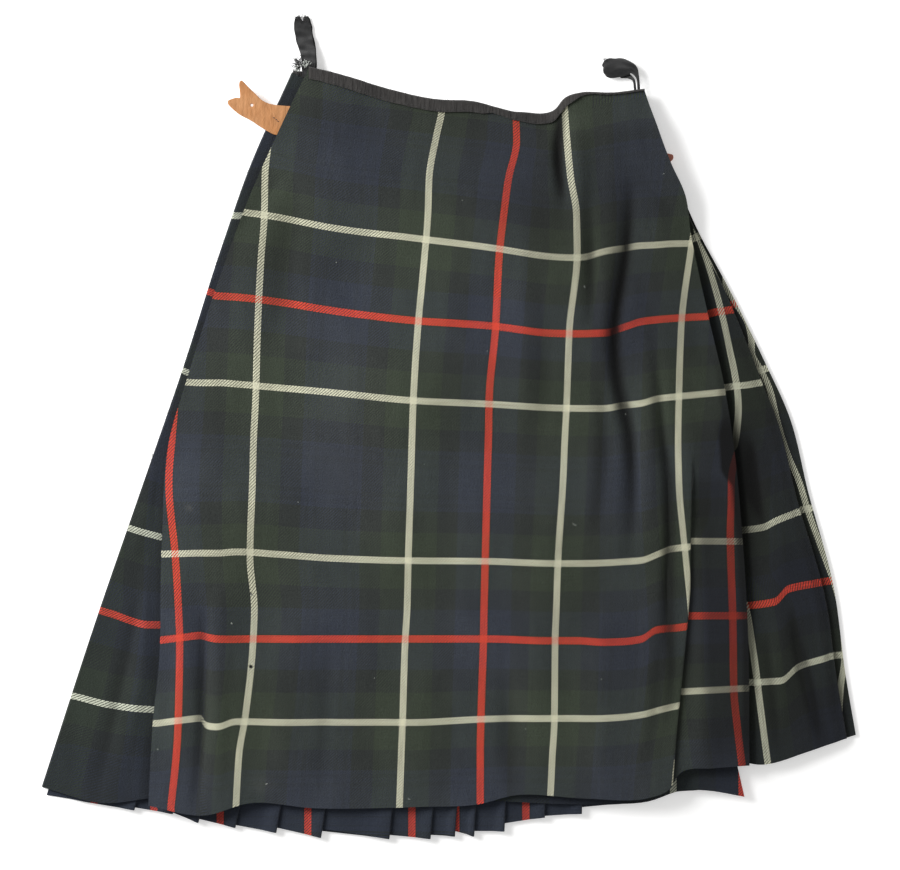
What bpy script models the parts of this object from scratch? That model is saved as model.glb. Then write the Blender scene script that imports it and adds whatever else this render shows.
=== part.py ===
"""A kilt laid flat and face up, waist towards +Y and hem towards -Y, its origin under its middle.

One length of cloth wraps the wearer, so its sheets lie on each other. Layers count up from the
table: the pleated back lies face down on layers 0 to 4, the under apron is next, then the side
pleats, and the outer apron crosses them all. Lengths and tables are in millimetres.
"""
import bmesh
import bpy
import numpy as np

MM = 0.001

CLOTH = 1.0
GAP = 0.3
LAYER = CLOTH + GAP
FOLD_RADIUS = LAYER / 2
LEATHER = 1.8
RIBBON = 0.8
BAND_DEPTH = 9.0
BAND_GAP = 2.5  # between a band's top and the edge of the cloth inside it
BAND_COLUMNS = 15

BACK_TOP_LAYER = 4
UNDER_APRON_LAYER = 5
STRAP_LIFT = 1.62  # layers by which a strap raises the cloth that covers it
SIDE_LIFT = 1.0    # layers by which the side pleats raise the outer apron
SIDE_TOP_LIFT = 1.4  # and by how many more near their top

# Outlines, as x and y. Sides run from the waist to the hem, and the others from left to right.
WAIST = (
    (-112, 286), (-84, 279), (-47, 268), (-8, 260), (16, 259), (56, 250),
    (84, 252), (92, 261), (104, 265), (128, 265), (155, 268),
)
BACK_WAIST = (
    (-125, 284), (-97, 280), (-47, 265), (-8, 257), (16, 256), (56, 247),
    (84, 249), (104, 258), (128, 262), (154, 265),
)
LEFT_SIDE = (
    (-125, 284), (-159, 208), (-180, 150), (-214, 44), (-244, -43), (-280, -147), (-326, -288),
)
RIGHT_SIDE = (
    (154, 265), (176, 208), (195, 165), (228, 103), (253, 52), (273, 8), (288, -52),
    (308, -126), (318, -199), (326, -246),
)
APRON_LEFT = (
    (-112, 286), (-137, 232), (-164, 171), (-188, 105), (-210, 36), (-223, -9),
    (-229, -91), (-231, -192), (-235, -229), (-239, -301),
)
APRON_RIGHT = (
    (155, 268), (163, 243), (176, 208), (187, 184), (192, 151), (205, 88), (217, 37),
    (226, -19), (232, -83), (237, -171), (238, -269),
)
APRON_HEM = (
    (-239, -301), (-195, -309), (-161, -300), (-107, -304), (-24, -303), (23, -301),
    (51, -294), (109, -296), (168, -294), (184, -283), (238, -269),
)
UNDER_TOP = (
    (-130, 273), (-84, 264), (-47, 254), (-8, 246), (16, 245), (56, 236), (84, 237), (110, 247),
)
UNDER_LEFT = ((-130, 273), *LEFT_SIDE[1:])
UNDER_RIGHT = ((110, 247), (235, -295))
UNDER_HEM = ((-326, -288), (-275, -300), (-239, -296), (0, -296), (120, -301), (235, -295))
SIDE_TOP = ((146, 198), (181, 197))
SIDE_LEFT = ((146, 198), (206, -258))
SIDE_RIGHT = ((181, 197), *RIGHT_SIDE[2:])
SIDE_HEM = ((206, -258), (249, -269), (282, -260), (300, -254), (326, -246))

# Each inner fold of the back: where it meets the hem, and the hem's height where the strip to
# its left comes out from under the fold before it and where that strip ends.
BACK_FOLDS = (
    # x, strip_start_y, strip_end_y
    (-326, -288, -288), (-289, -290, -300), (-252, -300, -306), (-222, -304, -309),
    (-201, -308, -316), (-172, -313, -320), (-140, -318, -324), (-105, -320, -328),
    (-52, -321, -329), (-20, -326, -329), (-1, -326, -327), (14, -322, -327),
    (38, -323, -323), (71, -317, -312), (100, -311, -309), (132, -304, -301),
    (162, -299, -295), (192, -293, -290), (223, -288, -284), (253, -266, -264),
    (284, -262, -257), (326, -252, -246),
)
BACK_ROWS = 6
STAIR_FOOT = 0.6  # the part of each pitch over which a pleat lies level before it climbs

# The side pleats' two folds, as fractions of the way across at a fraction of the way down.
SIDE_FOLDS = (
    # down, under_fold, over_fold
    (0.0, 0.60, 0.92), (0.15, 0.66, 0.92), (0.4, 0.66, 0.87), (0.6, 0.68, 0.885),
    (0.8, 0.70, 0.915), (1.0, 0.72, 0.917),
)
SIDE_ROWS = 13

# The tuck in the outer apron: its edge as a fraction across, the depth of cloth it hides, and
# how far the cloth between its two folds has turned over, in degrees.
TUCK = (
    # down, edge, depth, turn
    (0.0, 0.930, 1.2, 0), (0.54, 0.925, 1.2, 0), (0.60, 0.918, 1.6, 90), (0.66, 0.912, 2.4, 180),
    (0.74, 0.906, 8, 180), (0.88, 0.885, 15, 180), (1.0, 0.862, 18, 180),
)
TUCK_STEPS = 3
TUCK_BEND = 1.2  # the least length of cloth in each of a tuck's two bends
CLIMB_BEFORE = 0.08  # where the near side pleat climbs over its inner fold
CLIMB_AFTER = 0.04
# Where the stack under the outer apron grows thicker: fractions of the width, and heights.
LEFT_THIN = 0.105
RIGHT_THIN = 0.10
WAIST_STACK_Y = 140
WAIST_STACK_RISE = 70
STRAP_REACH = 0.224
STRAP_FADE = 0.14
STRAP_Y = 130
STRAP_RISE = 50
SIDE_START = 0.68
SIDE_RISE = 0.12
SIDE_TOP_Y = 50
SIDE_TOP_RISE = 40
TUCK_SLOPE = 0.25  # the fraction of the width over which the cloth rises onto the tuck
APRON_ROWS = 23
UNDER_ROWS = 17

# Columns across a sheet: close together where it comes down to its left edge.
LEFT_COLUMNS = (0, 0.025, 0.05, 0.075, 0.1, 0.125, 0.16)

STRAP_LEFT = (
    # x, y
    (-166, 276), (-163, 274), (-154, 264), (-145, 257), (-133, 255), (-116, 254),
    (-124, 229), (-137, 230), (-152, 238), (-166, 248), (-176, 256), (-177, 260),
    (-170, 262), (-166, 261), (-167, 266), (-168, 273),
)
STRAP_LEFT_BOTTOM = 7.8
STRAP_HOLE = (-157, 256)
STRAP_HOLE_RADIUS = 1.4
STRAP_RIGHT = (
    # x, y
    (177, 217), (178, 213), (174, 207), (150, 206), (136, 214), (140, 229), (165, 219),
)
STRAP_RIGHT_BOTTOM = 6.5

# Ribbon loops, each two ribbons thick: half width and height of the middle at each station.
LOOP_LEFT = (
    # x, y, half_width, z
    (-113, 279, 4.6, 7.4), (-113, 290, 4.8, 7.2), (-113, 300, 4.8, 5.0),
    (-116, 311, 6.4, 2.6), (-118, 321, 6.4, 1.8), (-118, 329, 5.0, 1.8),
)
LOOP_LEFT_THICKNESS = 2 * RIBBON
LOOP_RIGHT = (
    # x, y, half_width, z
    (150, 258, 2.0, 7.0), (150, 267, 2.0, 7.0), (149, 275, 2.2, 5.6),
    (143, 283, 5.0, 4.0), (133, 285, 7.4, 2.6), (124, 285, 6.0, 2.0),
)
LOOP_RIGHT_THICKNESS = RIBBON
LOOP_STATIONS = 14

COLOURS = {
    "tartan": (0.035, 0.045, 0.050),
    "tartan_shade": (0.022, 0.028, 0.038),
    "band": (0.030, 0.024, 0.022),
    "leather": (0.60, 0.33, 0.16),
    "red_leather": (0.48, 0.17, 0.12),
    "ribbon": (0.012, 0.012, 0.013),
}
ROUGHNESS = {"leather": 0.55, "red_leather": 0.6, "ribbon": 0.5}
CLOTH_ROUGHNESS = 0.9


def clear_scene():
    for old in list(bpy.data.objects):
        bpy.data.objects.remove(old, do_unlink=True)


def material(name):
    made = bpy.data.materials.new(name)
    made.use_nodes = True
    shader = made.node_tree.nodes["Principled BSDF"]
    shader.inputs["Base Color"].default_value = (*COLOURS[name], 1)
    shader.inputs["Roughness"].default_value = ROUGHNESS.get(name, CLOTH_ROUGHNESS)
    shader.inputs["Metallic"].default_value = 0
    return made


def add_object(name, mesh, finish):
    mesh.materials.append(material(finish))
    made = bpy.data.objects.new(name, mesh)
    bpy.context.scene.collection.objects.link(made)
    return made


def wall(name, rows, finish, thickness=CLOTH):
    """A closed wall of even thickness, its middle on the surface through rows of points."""
    rows = np.array(rows, float)
    count, width, _ = rows.shape
    faces = []
    for row in range(count - 1):
        for column in range(width - 1):
            corner = row * width + column
            faces.append((corner, corner + width, corner + width + 1, corner + 1))
    mesh = bpy.data.meshes.new(name)
    mesh.from_pydata((rows.reshape(-1, 3) * MM).tolist(), [], faces)
    made = add_object(name, mesh, finish)
    solidify = made.modifiers.new("thickness", "SOLIDIFY")
    solidify.thickness = thickness * MM
    solidify.offset = 0
    solidify.use_even_offset = True
    return made


def plate(name, outline, bottom, finish, thickness=LEATHER):
    """A flat piece cut to an outline."""
    form = bmesh.new()
    corners = [form.verts.new((x * MM, y * MM, bottom * MM)) for x, y in outline]
    grown = bmesh.ops.extrude_face_region(form, geom=[form.faces.new(corners)], use_keep_orig=True)
    raised = [part for part in grown["geom"] if isinstance(part, bmesh.types.BMVert)]
    bmesh.ops.translate(form, vec=(0, 0, thickness * MM), verts=raised)
    bmesh.ops.recalc_face_normals(form, faces=form.faces)
    mesh = bpy.data.meshes.new(name)
    form.to_mesh(mesh)
    form.free()
    return add_object(name, mesh, finish)


def punch(target, centre, radius):
    """Cut a round hole straight down through a plate."""
    x, y = centre
    bpy.ops.mesh.primitive_cylinder_add(
        vertices=12, radius=radius * MM, depth=0.1, location=(x * MM, y * MM, 0)
    )
    cutter = bpy.context.object
    cutter.name = target.name + "_cutter"
    cutter.hide_render = True
    cutter.display_type = "WIRE"
    hole = target.modifiers.new("hole", "BOOLEAN")
    hole.operation = "DIFFERENCE"
    hole.object = cutter


def curve_at(points, fraction):
    """Points at the given fractions of a smooth curve's length."""
    points = np.array(points, float)
    steps = np.linalg.norm(np.diff(points, axis=0), axis=1)
    knots = np.concatenate([[0], np.cumsum(steps)]) / steps.sum()
    slopes = np.gradient(points, knots, axis=0)
    fraction = np.atleast_1d(fraction)
    start = np.clip(np.searchsorted(knots, fraction) - 1, 0, len(steps) - 1)
    span = (knots[start + 1] - knots[start])[:, None]
    t = (fraction - knots[start])[:, None] / span
    return (
        (1 + 2 * t) * (1 - t) ** 2 * points[start]
        + t * (1 - t) ** 2 * span * slopes[start]
        + t * t * (3 - 2 * t) * points[start + 1]
        + t * t * (t - 1) * span * slopes[start + 1]
    )


def sheet_points(edges, across, down):
    """Points of the flat sheet between its top, hem, left and right edges."""
    top, hem, left, right = edges
    a = np.asarray(across, float)[:, None]
    sides = (1 - a) * curve_at(left, down) + a * curve_at(right, down)
    ends = (1 - down) * curve_at(top, across) + down * curve_at(hem, across)
    upper = (1 - a) * np.array(top[0]) + a * np.array(top[-1])
    lower = (1 - a) * np.array(hem[0]) + a * np.array(hem[-1])
    return sides + ends - (1 - down) * upper - down * lower


def lowered(curve, drop):
    """A curve moved towards the hem, also when it is the start of a side edge."""
    return tuple((x, y - drop) for x, y in curve)


def side_from(side, corner):
    """A side edge that starts at another corner."""
    return (corner, *side[1:])


def smooth_step(value):
    t = np.clip(value, 0, 1)
    return t * t * (3 - 2 * t)


def height_of(layer):
    """The height of the middle of a layer's cloth."""
    return CLOTH / 2 + layer * LAYER


def side_at(side, y):
    """How far out a side edge is at each height on the garment."""
    table = np.array(side[::-1], float)
    return np.interp(y, table[:, 1], table[:, 0])


def rest_layer(x, y):
    """The first free layer over the back, which thins to one layer towards its two sides."""
    left = side_at(LEFT_SIDE, y)
    right = side_at(RIGHT_SIDE, y)
    across = (x - left) / (right - left)
    inside = smooth_step(np.minimum(across / LEFT_THIN, (1 - across) / RIGHT_THIN))
    at_waist = smooth_step((y - WAIST_STACK_Y) / WAIST_STACK_RISE)
    return 1 + (UNDER_APRON_LAYER - 1) * np.maximum(inside, at_waist)


def back_path():
    """The zigzag of pleats: fold number, layer, sideways shift and hem height at each point."""
    last = len(BACK_FOLDS) - 1
    path = []
    for fold in range(2, last):
        _, start_y, end_y = BACK_FOLDS[fold]
        hem_rise = end_y - start_y
        next_start = 2 * BACK_FOLDS[fold + 1][1] - BACK_FOLDS[fold + 1][2]
        crest = 4 if fold < last - 1 else 2
        for along, layer in ((0, 0), (STAIR_FOOT, 0), (1, 2), (1 + STAIR_FOOT, 2), (2, crest)):
            path.append((fold - 2 + along, layer, 0, end_y - hem_rise * (2 - along)))
        path.append((fold, crest - 0.5, FOLD_RADIUS, end_y))
        path.append((fold, crest - 1, 0, end_y))
        path.append((fold - 1 + STAIR_FOOT, 1, 0, end_y + (next_start - end_y) * (1 - STAIR_FOOT)))
        path.append((fold - 1, 1, 0, next_start))
        path.append((fold - 1, 0.5, -FOLD_RADIUS, next_start))
    _, start_y, end_y = BACK_FOLDS[last]
    path.append((last - 2, 0, 0, 2 * start_y - end_y))
    path.append((last - 1, 0, 0, start_y))
    path.append((last, 0, 0, end_y))
    return np.array(path, float)


def pleated_back():
    number, layer, shift, hem_y = back_path().T
    folds = np.array(BACK_FOLDS, float)
    across = (np.interp(number, range(len(folds)), folds[:, 0]) - folds[0, 0]) / np.ptp(folds[:, 0])
    hem = [(x, end_y) for x, _, end_y in BACK_FOLDS]
    top = lowered(BACK_WAIST, BAND_DEPTH + BAND_GAP)
    edges = (top, hem, side_from(LEFT_SIDE, top[0]), side_from(RIGHT_SIDE, top[-1]))
    rows = []
    for down in np.linspace(0, 1, BACK_ROWS):
        flat = sheet_points(edges, across, down)
        flat[:, 0] += shift
        flat[:, 1] += down * (hem_y - curve_at(hem, across)[:, 1])
        rows.append(np.column_stack([flat, height_of(layer)]))
    return wall("pleated_back", rows, "tartan_shade")


def under_apron():
    edges = (UNDER_TOP, UNDER_HEM, UNDER_LEFT, UNDER_RIGHT)
    across = np.concatenate([LEFT_COLUMNS, np.linspace(0.24, 1, 8)])
    rows = []
    for down in np.linspace(0, 1, UNDER_ROWS):
        x, y = sheet_points(edges, across, down).T
        rows.append(np.column_stack([x, y, height_of(rest_layer(x, y))]))
    return wall("under_apron", rows, "tartan")


def side_pleats():
    """The pleats beside the outer apron: over, back under, and out again to the side."""
    edges = (SIDE_TOP, SIDE_HEM, SIDE_LEFT, SIDE_RIGHT)
    table = np.array(SIDE_FOLDS)
    rows = []
    for down in np.linspace(0, 1, SIDE_ROWS):
        under = np.interp(down, table[:, 0], table[:, 1])
        over = np.interp(down, table[:, 0], table[:, 2])
        path = (
            # across, layer, shift
            (0, 1, 0), (under / 2, 1, 0), (under - CLIMB_BEFORE, 1, 0), (under + CLIMB_AFTER, 2, 0),
            (over, 2, 0), (over, 1.5, FOLD_RADIUS), (over, 1, 0), (under, 1, 0),
            (under, 0.5, -FOLD_RADIUS), (under, 0, 0), (over, 0, 0), (1, 0, 0),
        )
        across, layer, shift = np.array(path, float).T
        x, y = sheet_points(edges, across, down).T
        rows.append(np.column_stack([x + shift, y, height_of(rest_layer(x, y) + layer)]))
    return wall("side_pleats", rows, "tartan_shade")


def tuck_profile(depth, turn):
    """How far over and down the cloth has gone at each point of the tuck."""
    bend = max(FOLD_RADIUS * np.radians(turn), TUCK_BEND) / TUCK_STEPS
    parts = (np.arange(TUCK_STEPS) + 0.5) / TUCK_STEPS
    heading = np.radians(turn) * np.concatenate([parts, [1], 1 - parts])
    length = np.array([bend] * TUCK_STEPS + [depth] + [bend] * TUCK_STEPS)
    over = np.concatenate([[0], np.cumsum(length * np.cos(heading))])
    down = np.concatenate([[0], np.cumsum(length * np.sin(heading))])
    return over, down


def apron_layer(x, y, across):
    """The layer that the outer apron lies on, raised where a strap or the side pleats are."""
    over_strap = smooth_step((STRAP_REACH - across) / STRAP_FADE)
    strap = STRAP_LIFT * over_strap * smooth_step((y - STRAP_Y) / STRAP_RISE)
    pleats = SIDE_LIFT + SIDE_TOP_LIFT * smooth_step((y - SIDE_TOP_Y) / SIDE_TOP_RISE)
    side = pleats * smooth_step((across - SIDE_START) / SIDE_RISE)
    return rest_layer(x, y) + 1 + np.maximum(strap, side)


def outer_apron():
    top = lowered(WAIST, BAND_GAP)
    edges = (top, APRON_HEM, side_from(APRON_LEFT, top[0]), side_from(APRON_RIGHT, top[-1]))
    table = np.array(TUCK)
    rows = []
    for down in np.linspace(0, 1, APRON_ROWS):
        edge, depth, turn = (np.interp(down, table[:, 0], table[:, n]) for n in (1, 2, 3))
        ends = sheet_points(edges, [0, 1], down)
        width = np.linalg.norm(ends[1] - ends[0])
        over, fall = tuck_profile(depth, turn)
        left = np.concatenate([LEFT_COLUMNS, np.linspace(0.2, edge, 12)[:-1]])
        tuck = edge + over / width
        right = np.linspace(tuck[-1], 1, 4)[1:]
        across = np.concatenate([left, tuck, right])
        rise = fall[-1] * smooth_step(1 - (edge - left) / TUCK_SLOPE)
        raised = np.concatenate([rise, fall[-1] - fall, np.zeros(len(right))])
        x, y = sheet_points(edges, across, down).T
        rows.append(np.column_stack([x, y, height_of(apron_layer(x, y, across)) + raised]))
    wall("outer_apron", rows, "tartan")
    return rows[0]


def band(name, line, half):
    """A band folded over a line, its two leaves some layers over and under the line."""
    x, y, z = line.T
    round_over = half * LAYER
    profile = (
        # drop, layers from the middle
        (BAND_DEPTH, half), (round_over, half), (0.3 * round_over, 0.7 * half), (0, 0),
        (0.3 * round_over, -0.7 * half), (round_over, -half), (BAND_DEPTH, -half),
    )
    rows = []
    for drop, layers in profile:
        rows.append(np.column_stack([x, y - drop, z + layers * LAYER]))
    return wall(name, rows, "band")


def waistbands(apron_top):
    """One band on the outer apron's top edge, and one over the ends of the pleats."""
    half = BACK_TOP_LAYER / 2
    back = curve_at(BACK_WAIST, np.linspace(0, 1, BAND_COLUMNS))
    band("waistband_front", apron_top + np.array([0, BAND_GAP, 0]), 1)
    band("waistband_back", np.column_stack([back, np.full(BAND_COLUMNS, height_of(half))]), half)


def ribbon_loop(name, stations, thickness):
    """A flat ribbon that keeps its width square to its own path."""
    line = curve_at(stations, np.linspace(0, 1, LOOP_STATIONS))
    heading = np.gradient(line[:, :2], axis=0)
    heading /= np.linalg.norm(heading, axis=1)[:, None]
    outward = np.column_stack([heading[:, 1], -heading[:, 0]]) * line[:, 2:3]
    rows = []
    for side in (-1, 0, 1):
        rows.append(np.column_stack([line[:, :2] + side * outward, line[:, 3]]))
    return wall(name, rows, "ribbon", thickness)


clear_scene()
pleated_back()
under_apron()
side_pleats()
waistbands(outer_apron())
strap = plate("strap_left", STRAP_LEFT, STRAP_LEFT_BOTTOM, "leather")
punch(strap, STRAP_HOLE, STRAP_HOLE_RADIUS)
plate("strap_right", STRAP_RIGHT, STRAP_RIGHT_BOTTOM, "red_leather")
ribbon_loop("loop_left", LOOP_LEFT, LOOP_LEFT_THICKNESS)
ribbon_loop("loop_right", LOOP_RIGHT, LOOP_RIGHT_THICKNESS)
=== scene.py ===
"""The looks of a tartan kilt that lies flat and face up on a pale floor.

Tables are in millimetres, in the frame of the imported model: the waist is towards +Y and the hem
towards -Y. A place in the cloth is counted in threads, across from one of the red stripes of the
warp and down from one of the weft, so that the tartan follows every fold and pull of its sheet.
"""

import bmesh
import bpy
import numpy as np
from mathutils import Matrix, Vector


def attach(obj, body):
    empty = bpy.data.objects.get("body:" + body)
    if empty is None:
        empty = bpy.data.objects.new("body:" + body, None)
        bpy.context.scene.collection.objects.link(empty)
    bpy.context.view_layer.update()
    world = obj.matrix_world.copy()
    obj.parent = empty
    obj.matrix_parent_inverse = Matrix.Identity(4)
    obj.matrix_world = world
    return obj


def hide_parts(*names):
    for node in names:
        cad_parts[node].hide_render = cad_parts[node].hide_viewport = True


MM = 0.001
# The floor, window, room and camera, in metres.
FLOOR_HALF, FLOOR_Z, FLOOR_GLOW = 6.0, -0.0003, 0.34
WINDOW_PLACE, WINDOW_SIZE, WINDOW_POWER = (-1.45, 0.75, 1.0), 0.9, 54
ROOM_COLOUR, ROOM_STRENGTH = (1.0, 0.995, 0.98, 1), 0.45
LENS, SENSOR = 85.0, 36.0  # millimetres
VIEW_WIDTH, VIEW_MIDDLE = 0.720, (0.0004, -0.0068)

# The cloth and how its layers lie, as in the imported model.
CLOTH = 1.0
LAYER = 1.3
FOLD_RADIUS = LAYER / 2
SHOWN_CLOTH = 0.9
BAND_DEPTH = 9.0
BAND_CLOTH = 0.8
PLEATS_BELOW = 0.2  # how far below the band's edge the pleats' cloth ends
STRAP_LIFT = 1.62
SIDE_LIFT = 1.0
SIDE_TOP_LIFT = 1.4
STAIR_FOOT = 0.6
EDGE_ROLL = 1.4  # how far inside a silhouette the sheet below it ends
ROLL_OUT = 1.6
CLOTH_TOP = 1.2  # how far below the waist's fold the apron's cloth ends, inside its band

# How finely each sheet is divided.
APRON_ROWS, APRON_COLUMNS, BEYOND_COLUMNS = 190, 136, 22
UNDER_ROWS, UNDER_COLUMNS, UNDER_CROWD = 150, 120, 1.3
SIDE_ROWS, NEAR_COLUMNS, FAR_COLUMNS, HIDDEN_COLUMNS = 170, 64, 24, 8
BACK_ROWS, STRIP_COLUMNS, TAIL_COLUMNS = 34, 18, 16
BAND_COLUMNS, BAND_ROWS, BAND_TURN = 300, 7, 9
RIBBON_ROWS, RIBBON_COLUMNS = 60, 19
FOLD_POINTS, TUCK_STEPS, CREASE_POINTS, WAVES = 7, 6, 150, 9

THREAD = 0.81  # millimetres for each thread of the sett
YARNS = 1.35  # woven yarns for each thread of the sett
TWILL = 4  # yarns in the twill's repeat: two over and two under
SLUB = 0.03  # how slowly a yarn's thickness changes along it, beside across it
COVER = 0.30  # how much a pale yarn spreads over the darker one that it crosses
# Where the tartan's ground is painted darker as shade, the palest yarn keeps this much brightness.
STRIPE_LEVEL = 1.0  # how bright the palest yarn stays where the ground is darker
HALF_SETT = 152

# Outlines, as x and y. Sides run from the waist to the hem, and the others from left to right.
WAIST = (
    (-112, 286), (-84, 279), (-47, 268), (-8, 260), (16, 259), (56, 250),
    (84, 252), (92, 261), (104, 265), (128, 265), (155, 268),
)
BACK_WAIST = (
    (-125, 284), (-97, 280), (-47, 265), (-8, 257), (16, 256), (56, 247),
    (84, 249), (104, 258), (128, 262), (154, 265),
)
LEFT_SIDE = (
    (-125, 284), (-159, 208), (-180, 150), (-214, 44), (-244, -43), (-280, -147), (-326, -288),
)
RIGHT_SIDE = (
    (154, 265), (176, 208), (195, 165), (228, 103), (253, 52), (273, 8), (288, -52),
    (308, -126), (318, -199), (326, -246),
)
APRON_LEFT = (
    (-112, 286), (-137, 232), (-164, 171), (-188, 105), (-210, 36), (-223, -9),
    (-229, -91), (-231, -192), (-235, -229), (-239, -301),
)
APRON_RIGHT = (
    (155, 268), (163, 243), (176, 208), (187, 184), (192, 151), (205, 88), (217, 37),
    (226, -19), (232, -83), (237, -171), (238, -269),
)
APRON_HEM = (
    (-239, -301), (-195, -309), (-161, -300), (-107, -304), (-24, -303), (23, -301),
    (51, -294), (109, -296), (158, -295), (172, -290), (184, -275), (210, -272), (238, -270),
)
UNDER_TOP = (
    (-126, 282), (-84, 264), (-47, 254), (-8, 246), (16, 245), (56, 236), (84, 237), (110, 247),
)
UNDER_LEFT = ((-126, 282), *LEFT_SIDE[1:])
UNDER_RIGHT = ((110, 247), (235, -295))
UNDER_HEM = (
    (-326, -288), (-275, -300), (-239, -296), (0, -296), (120, -300), (158, -298),
    (186, -289), (204, -289), (235, -294),
)
SIDE_TOP = ((146, 198), (181, 197))
SIDE_LEFT = ((146, 198), (206, -258))
SIDE_RIGHT = ((181, 197), *RIGHT_SIDE[2:])
SIDE_HEM = ((206, -258), (249, -269), (282, -260), (300, -254), (326, -246))

# Each inner fold of the back: where it meets the hem, the hem's height where the strip to its
# left comes out and where that strip ends, and where a red stripe of the warp runs near it.
BACK_FOLDS = (
    # x, strip_start_y, strip_end_y, red_x
    (-326, -288, -288, -360), (-289, -290, -300, -340), (-252, -300, -306, -284),
    (-222, -304, -309, -236), (-201, -308, -316, -180), (-172, -313, -320, -183),
    (-140, -318, -324, -120), (-105, -320, -328, -113), (-52, -321, -329, -20),
    (-20, -326, -329, -30), (-1, -326, -327, 30), (14, -322, -327, 5), (38, -323, -323, 70),
    (71, -317, -312, 61), (100, -311, -309, 140), (132, -304, -301, 170), (162, -299, -295, 200),
    (192, -293, -290, 230), (223, -288, -284, 190), (253, -266, -264, 290),
    (284, -262, -257, 250), (326, -252, -246, 360),
)

SIDE_FOLDS = (
    # down, under_fold, over_fold
    (0.0, 0.60, 0.92), (0.15, 0.66, 0.92), (0.4, 0.66, 0.87), (0.6, 0.68, 0.885),
    (0.8, 0.70, 0.915), (1.0, 0.72, 0.917),
)
TUCK = (
    # down, edge, depth, turn
    (0.0, 0.930, 1.2, 0), (0.54, 0.925, 1.2, 0), (0.60, 0.918, 1.6, 90), (0.66, 0.912, 2.4, 180),
    (0.74, 0.906, 8, 180), (0.88, 0.885, 15, 180), (1.0, 0.862, 18, 180),
)
TUCK_BEND = 1.2  # the least length of cloth in each of a tuck's two bends
CLIMB_BEFORE = 0.08  # where the near side pleat climbs over its inner fold
CLIMB = 0.12
# Where the stack under the outer apron grows thicker: fractions of the width, and heights.
LEFT_THIN = 0.105
RIGHT_THIN = 0.10
WAIST_STACK_Y = 140
WAIST_STACK_RISE = 70
STRAP_REACH = 0.224
STRAP_FADE = 0.14
STRAP_Y = 130
STRAP_RISE = 50
SIDE_START = 0.68
SIDE_RISE = 0.12
SIDE_TOP_Y = 50
SIDE_TOP_RISE = 40
TUCK_SLOPE = 0.25
# The bindings' gathers: length and height of each set of waves.
BAND_CRINKLES = ((26, 0.8), (8, 0.7))
BAND_RIPPLES = (11, 0.5)
BAND_OVER = 0.25  # how far the outer leaf lies over the fold that it binds
BAND_LEAST = 0.15
BAND_UNEVEN, BAND_PUFF, BAND_TURNED, BAND_RIPPLED = 0.8, 0.5, 0.6, 0.2
GATHERED = (1.5, 4)  # the shown depth where the gathers start, and how far on they are full
# How much of the front band's outer leaf shows along the waist.
BAND_SHOWN = (
    # x, depth
    (-113, 9.5), (-60, 10), (0, 9.5), (26, 8), (36, 5.5), (50, 6.5), (70, 8.5), (88, 8.5),
    (97, 6), (106, 2.5), (120, 1.5), (156, 1.5),
)

# Where the stripes run. Warp stripes go from waist to hem, and weft stripes from side to side.
APRON_WARP = (
    # y, red_1, white_1, white_2, red_2, white_3, white_4, red_3
    (249, -204, -142, -6, 53, 91.5, 213, 274),
    (227, -206, -144, -11, 53.5, 93, 210, 270),
    (197, -209, -147, -16, 47, 96, 204, 265),
    (167, -210, -147.5, -17, 43, 100.5, 197, 258),
    (136, -213, -150, -19.5, 39.5, 101, 191, 252),
    (77, -217, -153, -25, 36.5, 95, 183.5, 245),
    (21, -219, -154.5, -28.5, 31.5, 93, 182, 238),
    (-8, -221, -156, -29.5, 31, 91.5, 181.5, 232),
    (-43, -223.5, -157, -30.5, 30, 90, 182, 223.5),
    (-104, -218, -159, -32.5, 28.5, 86, 187.5, 223),
    (-145, -215, -155.5, -33.5, 27.5, 84.5, 191.5, 230),
    (-171, -214, -156.5, -35, 27, 83.5, 193, 240),
    (-233, -215, -163, -37, 25, 83, 186, 245),
    (-260, -216.5, -167.5, -38, 24.5, 81.5, 181, 245),
    (-302, -221, -170, -39.5, 24.5, 79.5, 177, 240),
)
APRON_WARP_THREADS = (0, 76, 228, 304, 380, 532, 608)
APRON_WEFT = (
    # x, white_1, red_1, white_2, white_3, red_2, white_4
    (-232, 177, 108, 37, -102, -170, -235.5), (-216, 175, 107, 36, -101.5, -168, -233.2),
    (-198, 174, 105, 35, -101, -166, -231.6), (-193, 173, 105, 35, -101, -167.2, -237.4),
    (-184, 172, 104, 35, -101, -168.6, -238), (-170, 171, 103, 34, -100, -169, -234.2),
    (-136, 166, 99, 31, -102, -169, -235),
    (-96, 158, 92.5, 27.5, -105, -169, -235),
    (-32, 150, 84.5, 21, -107, -169, -235),
    (32, 142, 80, 18, -107.5, -169, -232.5),
    (82, 134.5, 74, 15, -109, -170, -231.5),
    (102, 133.5, 73.5, 14.5, -109, -170, -231.5),
    (122, 138, 74, 14.5, -108.5, -171, -231),
    (138, 141, 78.5, 17, -107.5, -170.5, -230),
    (152, 143, 83, 18.5, -106.5, -168.5, -228),
    (164, 143.5, 84.5, 22, -102, -161, -225),
    (176, 144.5, 85.5, 23.5, -97.5, -160, -222),
    (192, 145, 86.5, 25, -95.5, -158, -219),
    (222, 146, 88, 28, -94, -156, -215),
)
WEFT_THREADS = (-76, 0, 76, 228, 304, 380)
WEFT_TOP = -221  # the cloth ends just short of its next white stripe
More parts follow.
